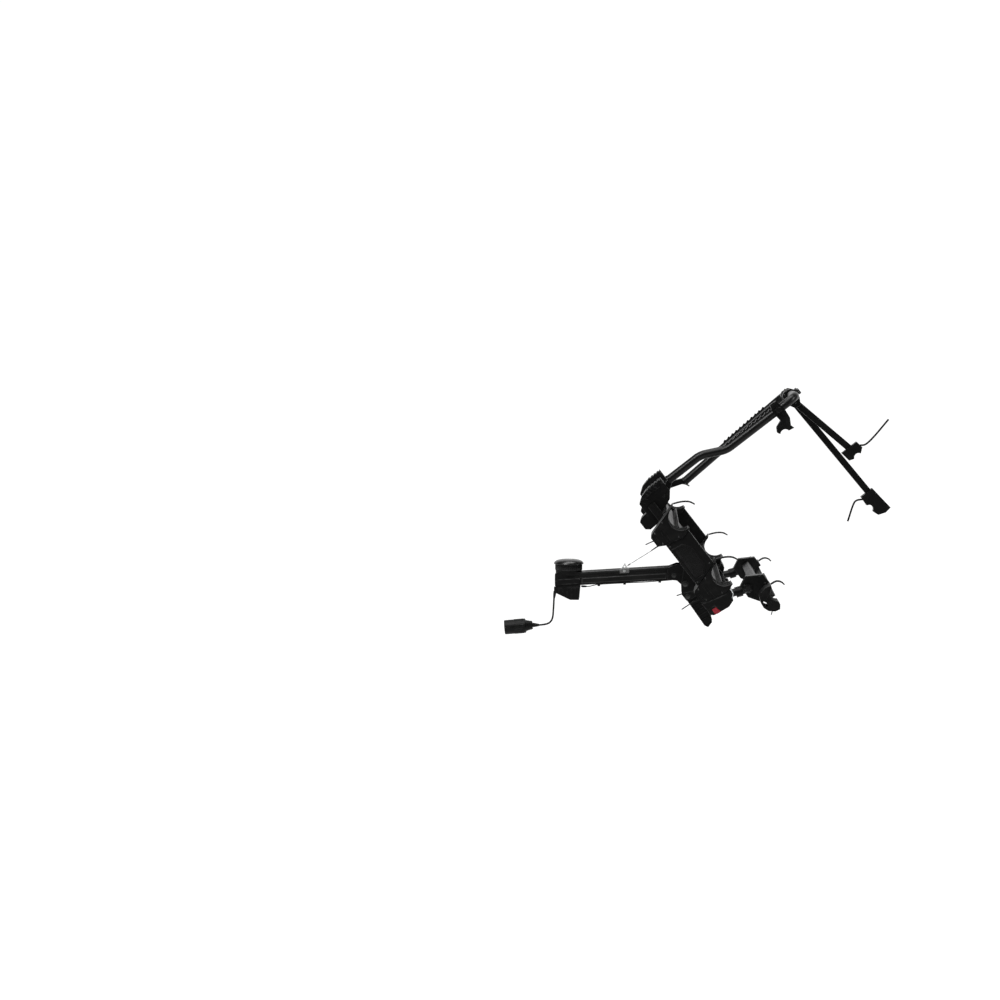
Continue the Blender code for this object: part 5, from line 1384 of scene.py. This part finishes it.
# ---- Studio
# A pale floor that sweeps up behind the rack, large soft lights and a long lens at the
# rack's side.
def make_studio_white():
    """Matt pale paint for the floor and backdrop."""
    white = Finish("studio_white", {"Specular IOR Level": 0.1, "Emission Color": (1.0, 1.0, 1.0, 1.0),
                                    "Emission Strength": 0.86})
    cloud = white.noise(0.6, 3.0)
    white.shade({"Base Color": white.tint(cloud, grey(0.19), grey(0.21)), "Roughness": 0.9})
    return white


FLOOR_Z = -0.62
SWEEP_Y = 6.0
SWEEP_RADIUS = 3.0
FLOOR_EDGE_Y = -3.7
FLOOR_HALF_WIDTH = 14.0
BACKDROP_TOP = 12.0
WORLD_LIGHT = 0.18
sweep = [(FLOOR_EDGE_Y, FLOOR_Z)] + arc((SWEEP_Y, FLOOR_Z + SWEEP_RADIUS), SWEEP_RADIUS, -90, 0, 24)
sweep.append((SWEEP_Y + SWEEP_RADIUS, BACKDROP_TOP))
floor_mesh = bpy.data.meshes.new("studio_floor")
floor_mesh.from_pydata([(x, y, z) for y, z in sweep for x in (-FLOOR_HALF_WIDTH, FLOOR_HALF_WIDTH)], [],
                       [(2 * i, 2 * i + 1, 2 * i + 3, 2 * i + 2) for i in range(len(sweep) - 1)])
floor_mesh.shade_smooth()
floor_mesh.materials.append(make_studio_white().material)
floor = bpy.data.objects.new("studio_floor", floor_mesh)
bpy.context.scene.collection.objects.link(floor)
floor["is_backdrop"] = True

world = bpy.data.worlds.new("studio")
world.use_nodes = True
backdrop = world.node_tree.nodes["Background"]
backdrop.inputs["Color"].default_value = (1.0, 1.0, 1.0, 1.0)
# The world lights the rack dimly, but seen past the floor's edge it is as white as the floor.
seen = world.node_tree.nodes.new("ShaderNodeLightPath")
strength = world.node_tree.nodes.new("ShaderNodeMapRange")
strength.inputs["To Min"].default_value = WORLD_LIGHT
strength.inputs["To Max"].default_value = 1.0
world.node_tree.links.new(seen.outputs["Is Camera Ray"], strength.inputs["Value"])
world.node_tree.links.new(strength.outputs["Result"], backdrop.inputs["Strength"])
bpy.context.scene.world = world


def soft_light(name, place, target, size, power):
    """A rectangular area light at a place, aimed at a target."""
    lamp = bpy.data.lights.new(name, "AREA")
    lamp.shape = "RECTANGLE"
    lamp.size = size[0]
    lamp.size_y = size[1]
    lamp.energy = power
    made = bpy.data.objects.new(name, lamp)
    bpy.context.scene.collection.objects.link(made)
    made.location = place
    made.rotation_euler = (Vector(target) - Vector(place)).to_track_quat("-Z", "Y").to_euler()


soft_light("key_light", (-2.2, -3.8, 4.6), (0.5, 0.0, 0.2), (1.6, 1.6), 200.0)
soft_light("top_light", (0.6, 0.2, 5.0), (0.5, 0.0, 0.2), (3.4, 2.4), 170.0)
soft_light("rear_light", (4.5, -1.0, 2.5), (0.6, 0.0, 0.2), (1.2, 1.6), 70.0)
sun = bpy.data.lights.new("sky_light", "SUN")
sun.energy = 1.7
sun.angle = math.radians(40.0)
sun_place = bpy.data.objects.new("sky_light", sun)
bpy.context.scene.collection.objects.link(sun_place)
sun_place.rotation_euler = Vector((0.25, 0.45, -0.86)).to_track_quat("-Z", "Y").to_euler()

camera = bpy.data.cameras.new("camera")
camera.sensor_width = 36.0
camera.lens = 80.5
camera.clip_end = 100.0
viewpoint = bpy.data.objects.new("camera", camera)
bpy.context.scene.collection.objects.link(viewpoint)
viewpoint.location = (0.319, -8.5, 0.897)
aim = Vector((-0.251, 0.0, 0.327))
viewpoint.rotation_euler = (aim - viewpoint.location).to_track_quat("-Z", "Y").to_euler()
bpy.context.scene.camera = viewpoint
bpy.context.scene.view_settings.view_transform = "Standard"

low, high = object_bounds()
